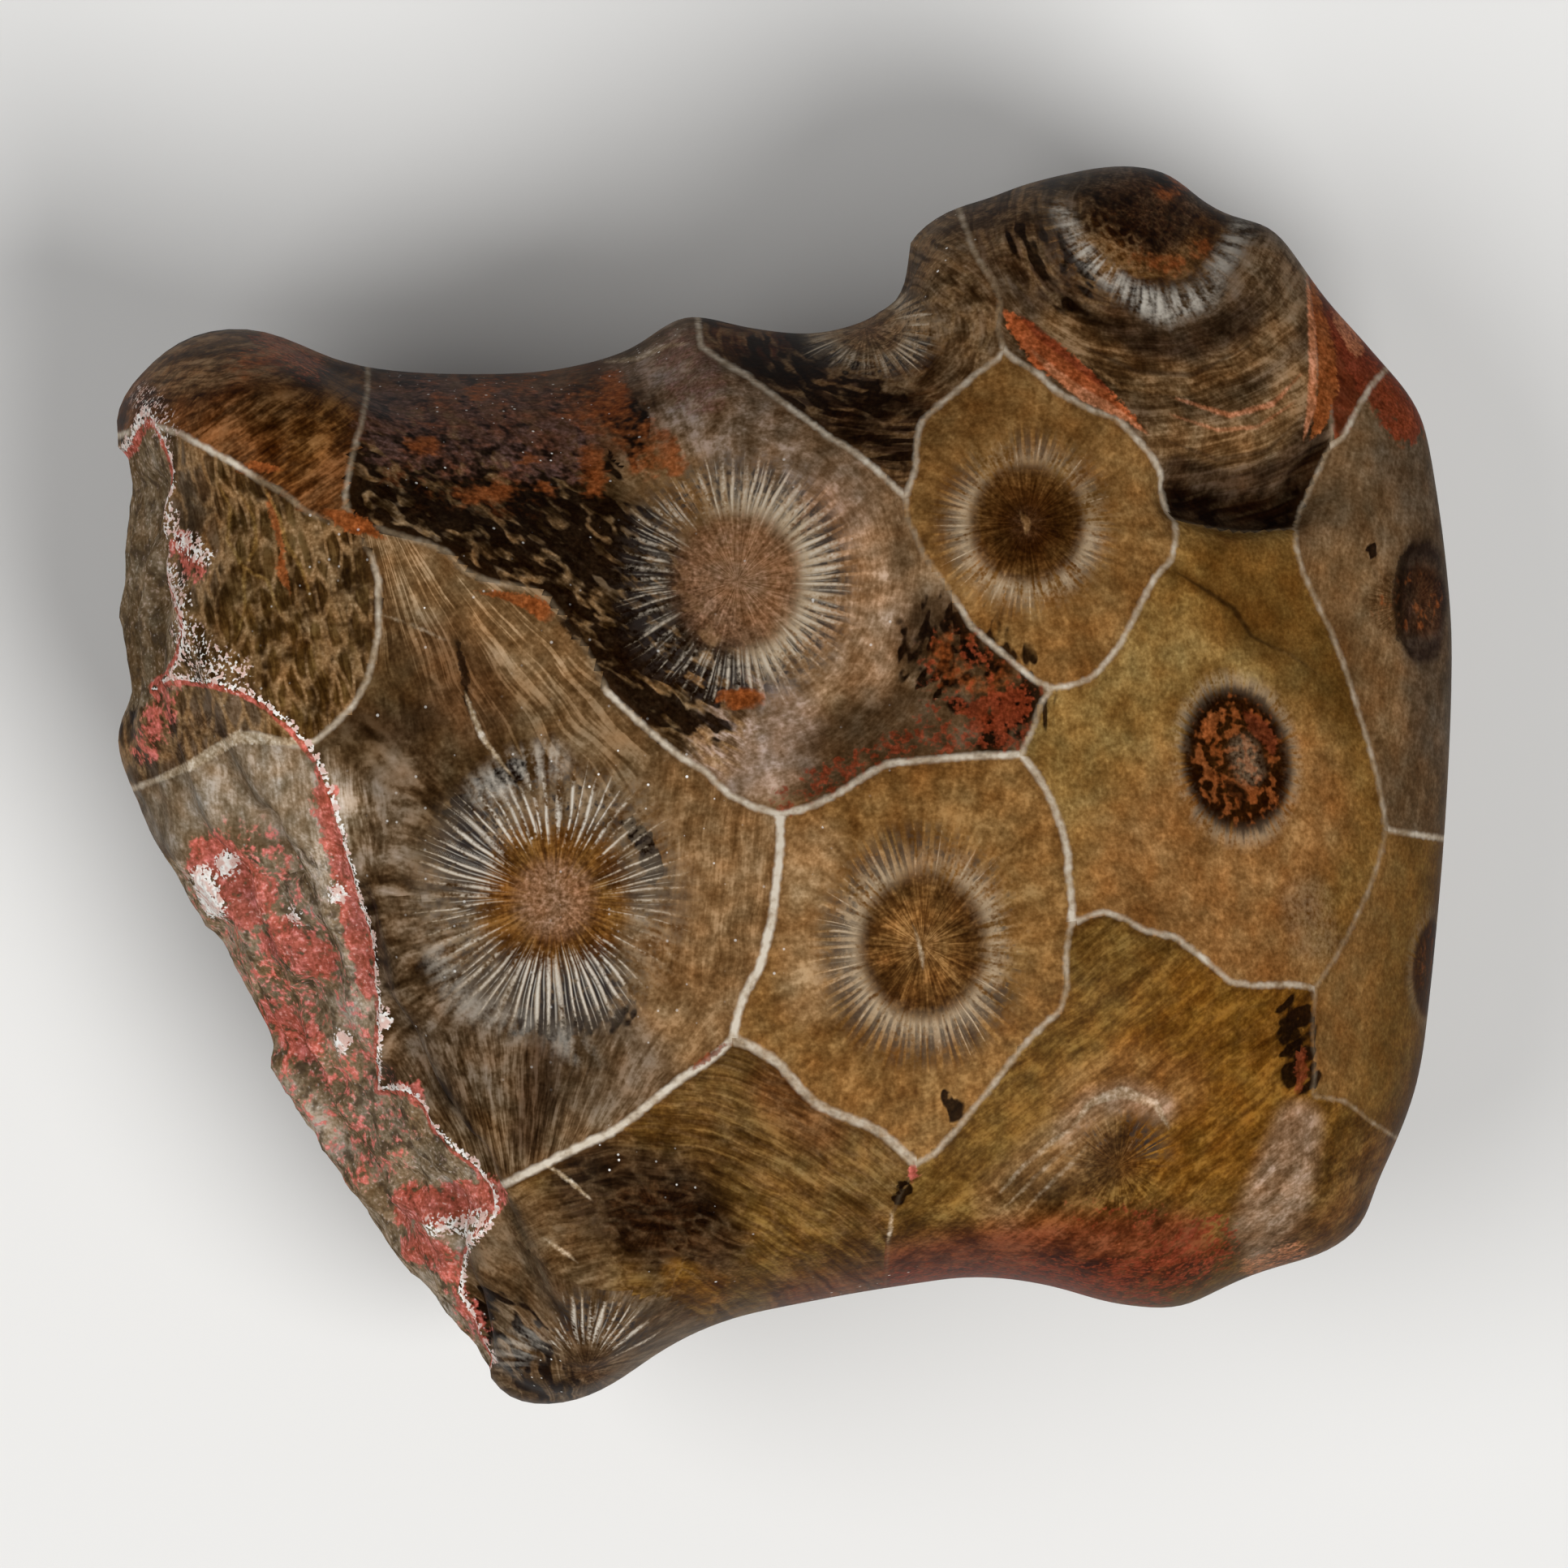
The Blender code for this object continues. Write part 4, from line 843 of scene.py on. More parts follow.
def photo_place(points):
    """Where the camera sees points in millimetres, in pixels of the photograph."""
    scale = PIXELS_PER_MM * CAMERA_DISTANCE / (CAMERA_DISTANCE - (points[:, 2] - RIM_HEIGHT))
    return np.stack([PHOTO_MIDDLE + points[:, 0] * scale, PHOTO_MIDDLE - points[:, 1] * scale], axis=1)


def line_place(place, line):
    """Distance from each place to a line through points, and how far along it that is, from 0 to 1."""
    line = [np.array(point, dtype=float) for point in line]
    nearest = np.hypot(*(place - line[0]).T)
    run = np.zeros(len(place))
    for index, (start, end) in enumerate(zip(line, line[1:])):
        along = end - start
        part = np.clip((place - start) @ along / (along @ along), 0.0, 1.0)
        away = place - start - part[:, None] * along
        gap = np.hypot(away[:, 0], away[:, 1])
        run = np.where(gap < nearest, (index + part) / (len(line) - 1), run)
        nearest = np.minimum(nearest, gap)
    return nearest, run


def line_distance(place, line):
    """Distance from each place to a line through points."""
    return line_place(place, line)[0]


def is_inside(place, ring):
    """Whether each place lies inside a closed ring of points."""
    inside = np.zeros(len(place), dtype=bool)
    x, y = place.T
    for (x0, y0), (x1, y1) in zip(ring, ring[1:] + ring[:1]):
        if y0 == y1:
            continue
        crosses = (y0 > y) != (y1 > y)
        inside ^= crosses & (x < x0 + (y - y0) * (x1 - x0) / (y1 - y0))
    return inside


def stroke(place, mark):
    """How strongly a mark or wash covers each place."""
    away, run = line_place(place, mark.points)
    width = spread(mark.width, run)
    return mark.strength * (1.0 - smooth_step(away, width, width + mark.soft))


def spread(widths, run):
    """The width at each place along a line, for one width or several that are spread along it."""
    widths = widths if isinstance(widths, tuple) else (widths,)
    return np.interp(run, np.linspace(0.0, 1.0, len(widths)), widths)


def swirl(points, size, turns):
    """Uneven waves between about -1 and 1 that shift places so that smooth lines wander."""
    waves = [np.sin(points @ np.array(way) * pace / size + lead * turns) for way, pace, lead in SWIRL_WAVES]
    return sum(waves) / len(waves)


def fine_mesh(node):
    """Join the solid's facets into squares and smooth them without moving the solid's own corners."""
    mesh = node.data.copy()
    net = bmesh.new()
    net.from_mesh(mesh)
    bmesh.ops.remove_doubles(net, verts=net.verts, dist=WELD)
    bmesh.ops.join_triangles(
        net, faces=net.faces, angle_face_threshold=math.radians(JOIN_ANGLES[0]),
        angle_shape_threshold=math.radians(JOIN_ANGLES[1])
    )
    net.to_mesh(mesh)
    net.free()
    for name in [layer.name for layer in mesh.uv_layers]:
        mesh.uv_layers.remove(mesh.uv_layers[name])
    mesh.materials.clear()
    stone = bpy.data.objects.new("polished_stone", mesh)
    bpy.context.scene.collection.objects.link(stone)
    smoothing = stone.modifiers.new("smoothing", "SUBSURF")
    smoothing.levels = smoothing.render_levels = SMOOTH_LEVELS
    smoothing.quality = SMOOTH_QUALITY
    wanted = positions(mesh)
    corners = wanted.copy()
    for _ in range(FIT_ROUNDS):
        corners += wanted - positions(smoothed(stone).data)[:len(wanted)]
        mesh.vertices.foreach_set("co", corners.ravel())
        mesh.update()
    fine = bpy.data.meshes.new_from_object(smoothed(stone))
    stone.modifiers.clear()
    stone.data = fine
    return stone


def smoothed(stone):
    """The stone with its modifier, as Blender evaluates it now."""
    bpy.context.view_layer.update()
    return stone.evaluated_get(bpy.context.evaluated_depsgraph_get())


def positions(mesh):
    """The mesh's points in metres."""
    co = np.empty(len(mesh.vertices) * 3)
    mesh.vertices.foreach_get("co", co)
    return co.reshape(-1, 3)


def normals(mesh):
    """The mesh's normals at its points."""
    out = np.empty(len(mesh.vertices) * 3, dtype=np.float32)
    mesh.vertex_normals.foreach_get("vector", out)
    return out.reshape(-1, 3).astype(float)


class Surface:
    """The stone's fine surface, and what each of its points is part of."""

    def __init__(self, mesh):
        self.mesh = mesh
        self.points = positions(mesh) / MM
        self.normals = normals(mesh)
        self.place = photo_place(self.points)
        rim = RIM_HEIGHT + RIM_TILT[0] * self.points[:, 0] + RIM_TILT[1] * self.points[:, 1]
        self.below_rim = np.maximum(rim - self.points[:, 2], 0.0)
        outward = self.points[:, :2] / np.maximum(np.hypot(*self.points[:, :2].T), TINY)[:, None]
        # Places on the sides as if these lay flat round the rim, so that marks keep their length there
        self.unrolled = self.place + outward * self.below_rim[:, None] * (PIXELS_PER_MM, -PIXELS_PER_MM)
        self.front = smooth_step(self.points[:, 2] - rim, *FRONT_BLEND)
        self.corners = np.empty(len(mesh.loops), dtype=np.int64)
        mesh.loops.foreach_get("vertex_index", self.corners)
        sizes = np.empty(len(mesh.polygons), dtype=np.int64)
        mesh.polygons.foreach_get("loop_total", sizes)
        self.corner_face = np.repeat(np.arange(len(sizes)), sizes)
        self.sizes = sizes
        self.on_break = self.find_break()
        self.on_facet = stroke(self.place, FACET) * self.front
        self.find_cells()

    def find_break(self):
        """1 on the break and 0 on the polish. Keeps how far the edge is too, on the front and the sides."""
        ring = BREAK_LINE + BREAK_OUTSIDE
        edge = line_distance(self.place, BREAK_LINE)
        self.break_edge = np.where(is_inside(self.place, ring), edge, -edge)
        x, y, z = self.points.T
        nearest = np.full(len(x), -np.inf)
        for (px, py), (nx, ny), lean in CUTS:
            out = (x - px) * nx + (y - py) * ny + (z - RIM_HEIGHT) * lean
            nearest = np.maximum(nearest, out / math.hypot(1.0, lean))
        on_front = smooth_step(self.break_edge, *BREAK_EDGE)
        on_sides = smooth_step(nearest, *CUT_NEAR)
        self.side_edge = nearest - sum(CUT_NEAR) / 2.0
        return self.front * on_front + (1.0 - self.front) * on_sides

    def find_cells(self):
        """Each face's own cell, the next cell, and each corner's distance from the wall between them."""
        away = {name: line_distance(self.place, line) for name, line in WALLS.items()}
        self.names = list(CELLS) + list(BACK_SEEDS)
        fields = []
        for index, name in enumerate(self.names):
            if name in CELLS:
                names = [part.lstrip("-") for part in CELLS[name]]
                distance = np.min([away[part] for part in names], axis=0) / PIXELS_PER_MM
                ring = cell_ring(CELLS[name])
                on_front = np.where(is_inside(self.place, ring), -distance, distance)
            else:
                on_front = np.full(len(self.points), FAR)
            seed = RIM_SEEDS.get(name) or BACK_SEEDS.get(name)
            if seed:
                wander = WALL_WANDER * swirl(self.points, WANDER_SIZE, index)
                away_from_seed = np.linalg.norm(self.points - np.array(seed), axis=1)
                behind = away_from_seed * SEED_FIELD[0] + SEED_FIELD[1] + wander
            else:
                behind = np.full(len(self.points), FAR)
            fields.append(self.front * on_front + (1.0 - self.front) * behind)
        fields = np.stack(fields)
        per_face = self.face_mean(fields)
        order = np.argsort(per_face, axis=0)
        self.cell, self.next_cell = order[0], order[1]
        first = fields[self.cell[self.corner_face], self.corners]
        second = fields[self.next_cell[self.corner_face], self.corners]
        self.wall_distance = (second - first) / 2.0

    def face_mean(self, values):
        """The mean of each face's corners, for rows of values at the points."""
        starts = np.concatenate([[0], np.cumsum(self.sizes)[:-1]])
        return np.add.reduceat(values[:, self.corners], starts, axis=1) / self.sizes

    def in_cell(self, name):
        """Whether each corner belongs to the named cell."""
        return self.cell[self.corner_face] == self.names.index(name)

    def store(self, name, parts):
        """Keep three numbers for each corner in the mesh, for the material to read."""
        layer = self.mesh.attributes.new(name, "FLOAT_VECTOR", "CORNER")
        layer.data.foreach_set("vector", np.stack(parts, axis=1).astype(np.float32).ravel())


def cell_ring(parts):
    """The closed ring of points round a cell."""
    ring = []
    for part in parts:
        line = WALLS[part.lstrip("-")]
        ring += line[::-1] if part.startswith("-") else line
    return ring


def lumps(points, size, seed):
    """Uneven lumps between about -1 and 1, for points in millimetres."""
    shift = Vector([seed * step for step in LUMP_SHIFT])
    return np.array([noise.noise(Vector(point) / size + shift) for point in points])


def carve(surface):
    """Give the break its rough relief, and let the polished face keep its own shape."""
    points = surface.points
    place = surface.place
    lift = np.zeros(len(points))
    rough = np.flatnonzero(surface.on_break > 0.0)
    relief = np.full(len(rough), -ROUGH_SINK)
    for index, (size, height) in enumerate(ROUGH_RELIEF):
        relief += height * lumps(points[rough] * BREAK_GRAIN, size, index + 1)
    lift[rough] = relief * surface.on_break[rough] * (1.0 - FACET_CALM * surface.on_facet[rough])
    for mark in BREAK_MARKS["groove"] + NICKS:
        lift -= GROOVE_DEPTH * stroke(place, mark) * surface.front
    for mark in BREAK_MARKS["crystal"]:
        lift += CRYSTAL_HEIGHT * stroke(place, mark) * surface.front
    near_edge = 1.0 - smooth_step(np.abs(surface.break_edge), *BOUNDARY_REACH)
    ragged = 0.5 + 0.5 * lumps(points, *BOUNDARY_LUMPS)
    lift += BOUNDARY_HEIGHT * near_edge * ragged * surface.front
    lift -= TROUGH_DEPTH * stroke(place, TROUGH) * surface.front
    lift[points[:, 2] < FLAT_SPOT] = 0.0
    moved = points + surface.normals * lift[:, None]
    moved[:, 2] = np.maximum(moved[:, 2], 0.0)
    surface.mesh.vertices.foreach_set("co", (moved * MM).ravel())
    surface.mesh.update()


def cup_for(surface, name):
    """A cell's cup, or none. The cells of the back take turns with a few, each at the cell's own seed."""
    if name in CUPS:
        return CUPS[name]
    if name in BACK_SEEDS:
        index = list(BACK_SEEDS).index(name)
        return BACK_CUPS[index % len(BACK_CUPS)]._replace(at=BACK_SEEDS[name])
    return None


def cup_plane(surface, cup, corners):
    """Each corner's place from the middle of a cup, in millimetres across and up."""
    if len(cup.at) == 2:
        away = (surface.place[corners] - np.array(cup.at, dtype=float)) / PIXELS_PER_MM
        across, up = away[:, 0], -away[:, 1]
        reach = np.hypot(across, up)
        length = np.hypot(reach, surface.below_rim[corners])
    else:
        nearest = np.argmin(np.linalg.norm(surface.points - np.array(cup.at), axis=1))
        away = surface.points[corners] - surface.points[nearest]
        facing = Vector(surface.normals[nearest])
        level = abs(facing.z) >= FACING_UP
        side = facing.cross(Vector((0.0, 1.0, 0.0)) if level else Vector((0.0, 0.0, 1.0)))
        side.normalize()
        upward = facing.cross(side)
        across, up = away @ np.array(side), away @ np.array(upward)
        reach = np.hypot(across, up)
        length = np.linalg.norm(away, axis=1)
    grow = length / np.maximum(reach, TINY)
    turn = math.radians(cup.turn)
    mean = (cup.radii[0] + cup.radii[1]) / 2.0
    across, up = across * grow, up * grow
    right = (across * math.cos(turn) + up * math.sin(turn)) * mean / cup.radii[0]
    ahead = (up * math.cos(turn) - across * math.sin(turn)) * mean / cup.radii[1]
    return right, ahead


def unwrapped(angle, faces, middle):
    """Angles whose jump from one turn to the next falls between faces."""
    return middle[faces] + np.angle(np.exp(1j * (angle - middle[faces])))


def guide_flow(place, line):
    """How far each place lies to the side of a line and along it, in millimetres."""
    nearest = np.full(len(place), np.inf)
    across, along = np.zeros(len(place)), np.zeros(len(place))
    line = [np.array(point, dtype=float) for point in line]
    run = 0.0
    for index, (start, end) in enumerate(zip(line, line[1:])):
        step = end - start
        length = math.hypot(*step)
        away = place - start
        low = -np.inf if index == 0 else 0.0
        high = np.inf if index == len(line) - 2 else 1.0
        part = np.clip(away @ step / length ** 2, low, high)
        gap = np.hypot(*(away - part[:, None] * step).T)
        side = np.sign(step[0] * away[:, 1] - step[1] * away[:, 0])
        closer = gap < nearest
        nearest = np.where(closer, gap, nearest)
        across = np.where(closer, side * gap, across)
        along = np.where(closer, run + part * length, along)
        run += length
    return across / PIXELS_PER_MM, along / PIXELS_PER_MM


def fibre_flow(surface, flow, right, ahead, corners, faces):
    """How far each corner is across the fibres and along them, in millimetres."""
    kind = flow[0]
    if kind == "guide":
        return guide_flow(surface.unrolled[corners], flow[1])
    x, y = (surface.unrolled[corners] / PIXELS_PER_MM).T
    if kind == "line":
        turn = math.radians(flow[1])
        return -y * math.cos(turn) - x * math.sin(turn), x * math.cos(turn) - y * math.sin(turn)
    scale = FLOW_RADIUS if right is not None else FAN_RADIUS
    if len(flow) > 1:
        right = x - flow[1][0] / PIXELS_PER_MM
        ahead = flow[1][1] / PIXELS_PER_MM - y
    radius = np.hypot(right, ahead)
    middle = np.arctan2(
        np.bincount(faces, ahead, minlength=len(surface.sizes)),
        np.bincount(faces, right, minlength=len(surface.sizes)),
    )
    arc = unwrapped(np.arctan2(ahead, right), faces, middle) * scale
    return (radius, arc) if kind == "ring" else (arc, radius)


def turned_flow(surface, name, across, along, corners, faces):
    """Turn the fibres another way in the places that have their own flow, and fade them at the seams."""
    seam = np.ones(len(corners))
    count = np.maximum(np.bincount(faces, minlength=len(surface.sizes)), 1)
    for turn in TURNS.get(name, ()):
        there = turn.flow if len(turn.flow) > 1 else (turn.flow[0], CUPS[name].at)
        other_across, other_along = fibre_flow(surface, there, None, None, corners, faces)
        here = stroke(surface.unrolled[corners], turn) * surface.front[corners]
        turned = (np.bincount(faces, here, minlength=len(surface.sizes)) / count)[faces] > 0.5
        across = np.where(turned, other_across, across)
        along = np.where(turned, other_along, along)
        seam *= smooth_step(np.abs(here - 0.5), *SEAM_FADE)
    return across, along, seam


def columns(*parts):
    """Put numbers side by side, with single numbers repeated."""
    return np.stack(np.broadcast_arrays(*parts), axis=1)


def cup_look(cup, right, ahead):
    """What a cup gives the places round it: its disc's tones, its halo, its rays and the disc itself."""
    mean = (cup.radii[0] + cup.radii[1]) / 2.0 / PIXELS_PER_MM
    radius = np.hypot(right, ahead) / mean
    middle, rim, orange = cup.disc
    core_radius, core = cup.core
    disc = columns(
        middle + (rim - middle) * smooth_step(radius, *DISC_TONES),
        orange * (1.0 - smooth_step(radius, *ORANGE_EDGE)),
        core * (1.0 - smooth_step(radius / core_radius, *CORE_EDGE)),
    )
    inner, outer, strength = cup.halo
    halo = strength * smooth_step(radius, inner * HALO_START[0], inner * HALO_START[1])
    halo *= 1.0 - smooth_step(radius, inner + (outer - inner) * HALO_FADE, outer)
    count, inner, outer, pale, dark, _ = cup.rays
    span = outer - inner
    reach = smooth_step(radius, inner - RAY_LEAD, inner + span * RAY_SPAN[0])
    reach *= 1.0 - smooth_step(radius, inner + span * RAY_SPAN[1], outer)
    gap = smooth_step(radius, inner, inner + span * GAP_SPAN[0])
    gap *= 1.0 - smooth_step(radius, inner + span * GAP_SPAN[1], outer)
    return disc, halo, columns(count, pale * reach, dark * gap), 1.0 - smooth_step(radius, *DISC_EDGE)


def cell_looks(surface):
    """What each corner has of its own cell's look, the halo there, and where fibres meet at a seam."""
    total = len(surface.corners)
    names = ("ground", "calice", "rays", "disc", "fibre", "flow", "amount")
    looks = {name: np.zeros((total, 3)) for name in names}
    ground, calice, rays, disc, fibre, flow, amount = looks.values()
    halo = np.zeros(total)
    seam = np.ones(total)
    for index, name in enumerate(surface.names):
        here = np.flatnonzero(surface.cell[surface.corner_face] == index)
        if not len(here):
            continue
        corners, faces = surface.corners[here], surface.corner_face[here]
        look = GROUNDS.get(name) or BACK_GROUNDS[index % len(BACK_GROUNDS)]
        ground[here] = COLOURS[look.colour]
        fibre[here] = look.hair, look.net, look.radial
        amount[here, 0] = look.mottle
        cup = cup_for(surface, name)
        if cup is None:
            across, along = fibre_flow(surface, look.flow, None, None, corners, faces)
            flow[here] = columns(across, along, 0.0)
            calice[here] = FAR, FAR, SEED_STEP * index
            continue
        right, ahead = cup_plane(surface, cup, corners)
        across, along = fibre_flow(surface, look.flow, right, ahead, corners, faces)
        across, along, seam[here] = turned_flow(surface, name, across, along, corners, faces)
        flow[here] = columns(across, along, cup.rays[-1] / 2.0)
        calice[here] = columns(right, ahead, SEED_STEP * index)
        disc[here], halo[here], rays[here], amount[here, 1] = cup_look(cup, right, ahead)
        amount[here, 2] = cup.grainy
    return looks, halo, seam


def dress(surface):
    """Store in the mesh what the material needs to know about each corner."""
    looks, halo, seam = cell_looks(surface)
    masks = {kind: cover(surface, marks) for kind, marks in (MARKS | BREAK_MARKS).items()}
    looks["rays"][:, 1:] *= (1.0 - masks["faint"])[:, None]
    fibre = looks["fibre"]
    fibre[:, 0] = np.maximum(fibre[:, 0], masks["streaked"]) * seam
    fibre[:, 1] = np.maximum(fibre[:, 1], masks["netted"]) * seam
    looks["amount"][:, 0] += masks["motley"]
    looks["ground"] = washed(surface, looks["ground"])
    for name, look in looks.items():
        surface.store(name, look.T)
    store_walls(surface)
    store_veins(surface, "shape", SHAPES)
    store_veins(surface, "thread", THREADS)
    surface.store("stain", [masks["dark"], masks["orange"], masks["red"]])
    # The halo, weakened by painted shade on cups' sides away from the light.
    surface.store("light", [halo * (1.0 - masks["shaded_halo"]), masks["pale"], masks["sparkle"]])
    surface.store("tint", [masks["coral"], masks["frost"], masks["pink"]])
    rough = (surface.on_break * (1.0 - FACET_POLISH * surface.on_facet))[surface.corners]
    surface.store("rough", [rough, masks["crystal"], masks["brick"]])
    edge = np.where(surface.front > FRONT_EDGE, surface.break_edge / PIXELS_PER_MM, surface.side_edge)
    edge = np.clip(edge, -EDGE_REACH, EDGE_REACH)[surface.corners]
    surface.store("shade", [masks["smudge"], masks["combed"] * seam, edge])


def washed(surface, ground):
    """Lay the broad washes of colour over the cells' own colours, and darken the sides with painted shade.
    """
    for cell, washes in WASHES.items():
        here = np.flatnonzero(surface.in_cell(cell))
        corners = surface.corners[here]
        for wash in washes:
            part = (stroke(surface.unrolled[corners], wash) * surface.front[corners])[:, None]
            ground[here] += (np.array(COLOURS[wash.colour]) - ground[here]) * part
    # Painted shade: the more upright a side stands, the darker its colour.
    upright = 1.0 - smooth_step(surface.normals[surface.corners, 2], *SIDE_TILT)
    return ground * (1.0 - SIDE_PAINTED_SHADE * upright)[:, None]


def store_veins(surface, name, veins):
    """Store each corner's distance, minus on one side, from the vein nearest its face, and its look."""
    distances, widths, strengths = [], [], []
    for vein in veins:
        away, run = line_place(surface.unrolled, vein.points)
        across, _ = guide_flow(surface.unrolled, vein.points)
        width = spread(vein.widths, run)
        ends = smooth_step(run, 0.0, VEIN_TAPER) * (1.0 - smooth_step(run, 1.0 - VEIN_TAPER, 1.0))
        distances.append(np.where(across < 0.0, -away, away) / PIXELS_PER_MM)
        widths.append(width / PIXELS_PER_MM)
        strengths.append(vein.strength * ends * surface.front)
    distances, widths, strengths = (np.stack(rows) for rows in (distances, widths, strengths))
    nearest = np.argmin(surface.face_mean(np.abs(distances) - widths), axis=0)[surface.corner_face]
    pick = (nearest, surface.corners)
    surface.store(name, [distances[pick], widths[pick], strengths[pick]])
    colours = np.array([COLOURS[vein.colour] for vein in veins])
    surface.store(name + "_colour", colours[nearest].T)


def store_walls(surface):
    """Store how far each corner is from a wall, and how wide and how strong that wall is."""
    widths = np.full(len(surface.cell), WALL[0])
    paleness = np.full(len(surface.cell), WALL[1])
    for pair, (width, pale) in SOME_WALLS.items():
        one, other = (surface.names.index(name) for name in pair)
        parted = (surface.cell == one) & (surface.next_cell == other)
        parted |= (surface.cell == other) & (surface.next_cell == one)
        widths[parted] = width
        paleness[parted] = pale
    polished = (1.0 - surface.on_break * (1.0 - surface.on_facet))[surface.corners]
    strength = polished * paleness[surface.corner_face] * (1.0 - cover(surface, WORN_WALLS))
    surface.store("wall", [surface.wall_distance, widths[surface.corner_face], strength])


def cover(surface, marks):
    """How strongly the strongest of some marks covers each corner."""
    most = np.zeros(len(surface.corners))
    for mark in marks:
        here = (stroke(surface.unrolled, mark) * surface.front)[surface.corners]
        if mark.cell:
            here *= surface.in_cell(mark.cell)
        most = np.maximum(most, here)
    return most


class Value:
    """A number or vector in a material's node tree, which can be used in sums."""

    def __init__(self, graph, socket):
        self.graph = graph
        self.socket = socket

    def __add__(self, other):
        return self.graph.math("ADD", self, other)

    def __sub__(self, other):
        return self.graph.math("SUBTRACT", self, other)

    def __rsub__(self, other):
        return self.graph.math("SUBTRACT", other, self)

    def __mul__(self, other):
        return self.graph.math("MULTIPLY", self, other)

    def __truediv__(self, other):
        return self.graph.math("DIVIDE", self, other)

    __radd__ = __add__

    def sibling(self, output):
        """Another output of the same node."""
        return Value(self.graph, self.socket.node.outputs[output])


class Graph:
    """Adds nodes to one node tree and links them."""

    def __init__(self, tree):
        self.tree = tree
        tree.nodes.clear()

    def node(self, kind, inputs, output=0, **settings):
        """Add a node, set it up, fill its inputs and return one of its outputs."""
        node = self.tree.nodes.new(kind)
        for name, value in settings.items():
            setattr(node, name, value)
        for key, value in inputs.items():
            if isinstance(value, Value):
                self.tree.links.new(value.socket, node.inputs[key])
            else:
                node.inputs[key].default_value = value
        return Value(self, node.outputs[output]) if node.outputs else None

    def math(self, operation, *values):
        """A sum of numbers, by the name of Blender's operation."""
        return self.node("ShaderNodeMath", dict(enumerate(values)), operation=operation)

    def ramp(self, value, low, high):
        """Rise from 0 at low to 1 at high with no corners."""
        inputs = {"Value": value, "From Min": low, "From Max": high}
        return self.node("ShaderNodeMapRange", inputs, interpolation_type="SMOOTHSTEP")

    def stored(self, name):
        """The three numbers that the mesh stores under a name."""
        return self.parts(self.stored_colour(name))

    def stored_colour(self, name):
        """The colour that the mesh stores under a name."""
        return self.node("ShaderNodeAttribute", {}, output="Vector", attribute_name=name)

    def parts(self, vector):
        """A vector's three numbers."""
        outputs = self.node("ShaderNodeSeparateXYZ", {0: vector}).socket.node.outputs
        return [Value(self, socket) for socket in outputs]

    def vector(self, x, y, z):
        """A vector of three numbers."""
        return self.node("ShaderNodeCombineXYZ", {0: x, 1: y, 2: z})

    def scaled(self, vector, scale):
        """A vector times a number."""
        return self.node("ShaderNodeVectorMath", {0: vector, "Scale": scale}, operation="SCALE")

    def noise(self, vector, scale, detail, roughness):
        """Noise between about -0.5 and 0.5."""
        inputs = {"Vector": vector, "Scale": scale, "Detail": detail, "Roughness": roughness}
        return self.node("ShaderNodeTexNoise", inputs) - 0.5

    def cells(self, vector, scale, feature="F1"):
        """How far it is to the middle of the nearest of cells that fill space, or to their edge."""
        return self.node("ShaderNodeTexVoronoi", {"Vector": vector, "Scale": scale}, feature=feature)

    def mix(self, factor, first, second):
        """Blend two colours, each a colour's name, three numbers or a Value."""
        inputs = dict(zip(MIX_SOCKETS, (factor, self.colour(first), self.colour(second))))
        return self.node("ShaderNodeMix", inputs, output=MIX_RESULT, data_type="RGBA", clamp_factor=True)

    def colour(self, value):
        """A colour as a node's input takes it."""
        if isinstance(value, str):
            value = COLOURS[value]
        return value if isinstance(value, Value) else (*value, 1.0)


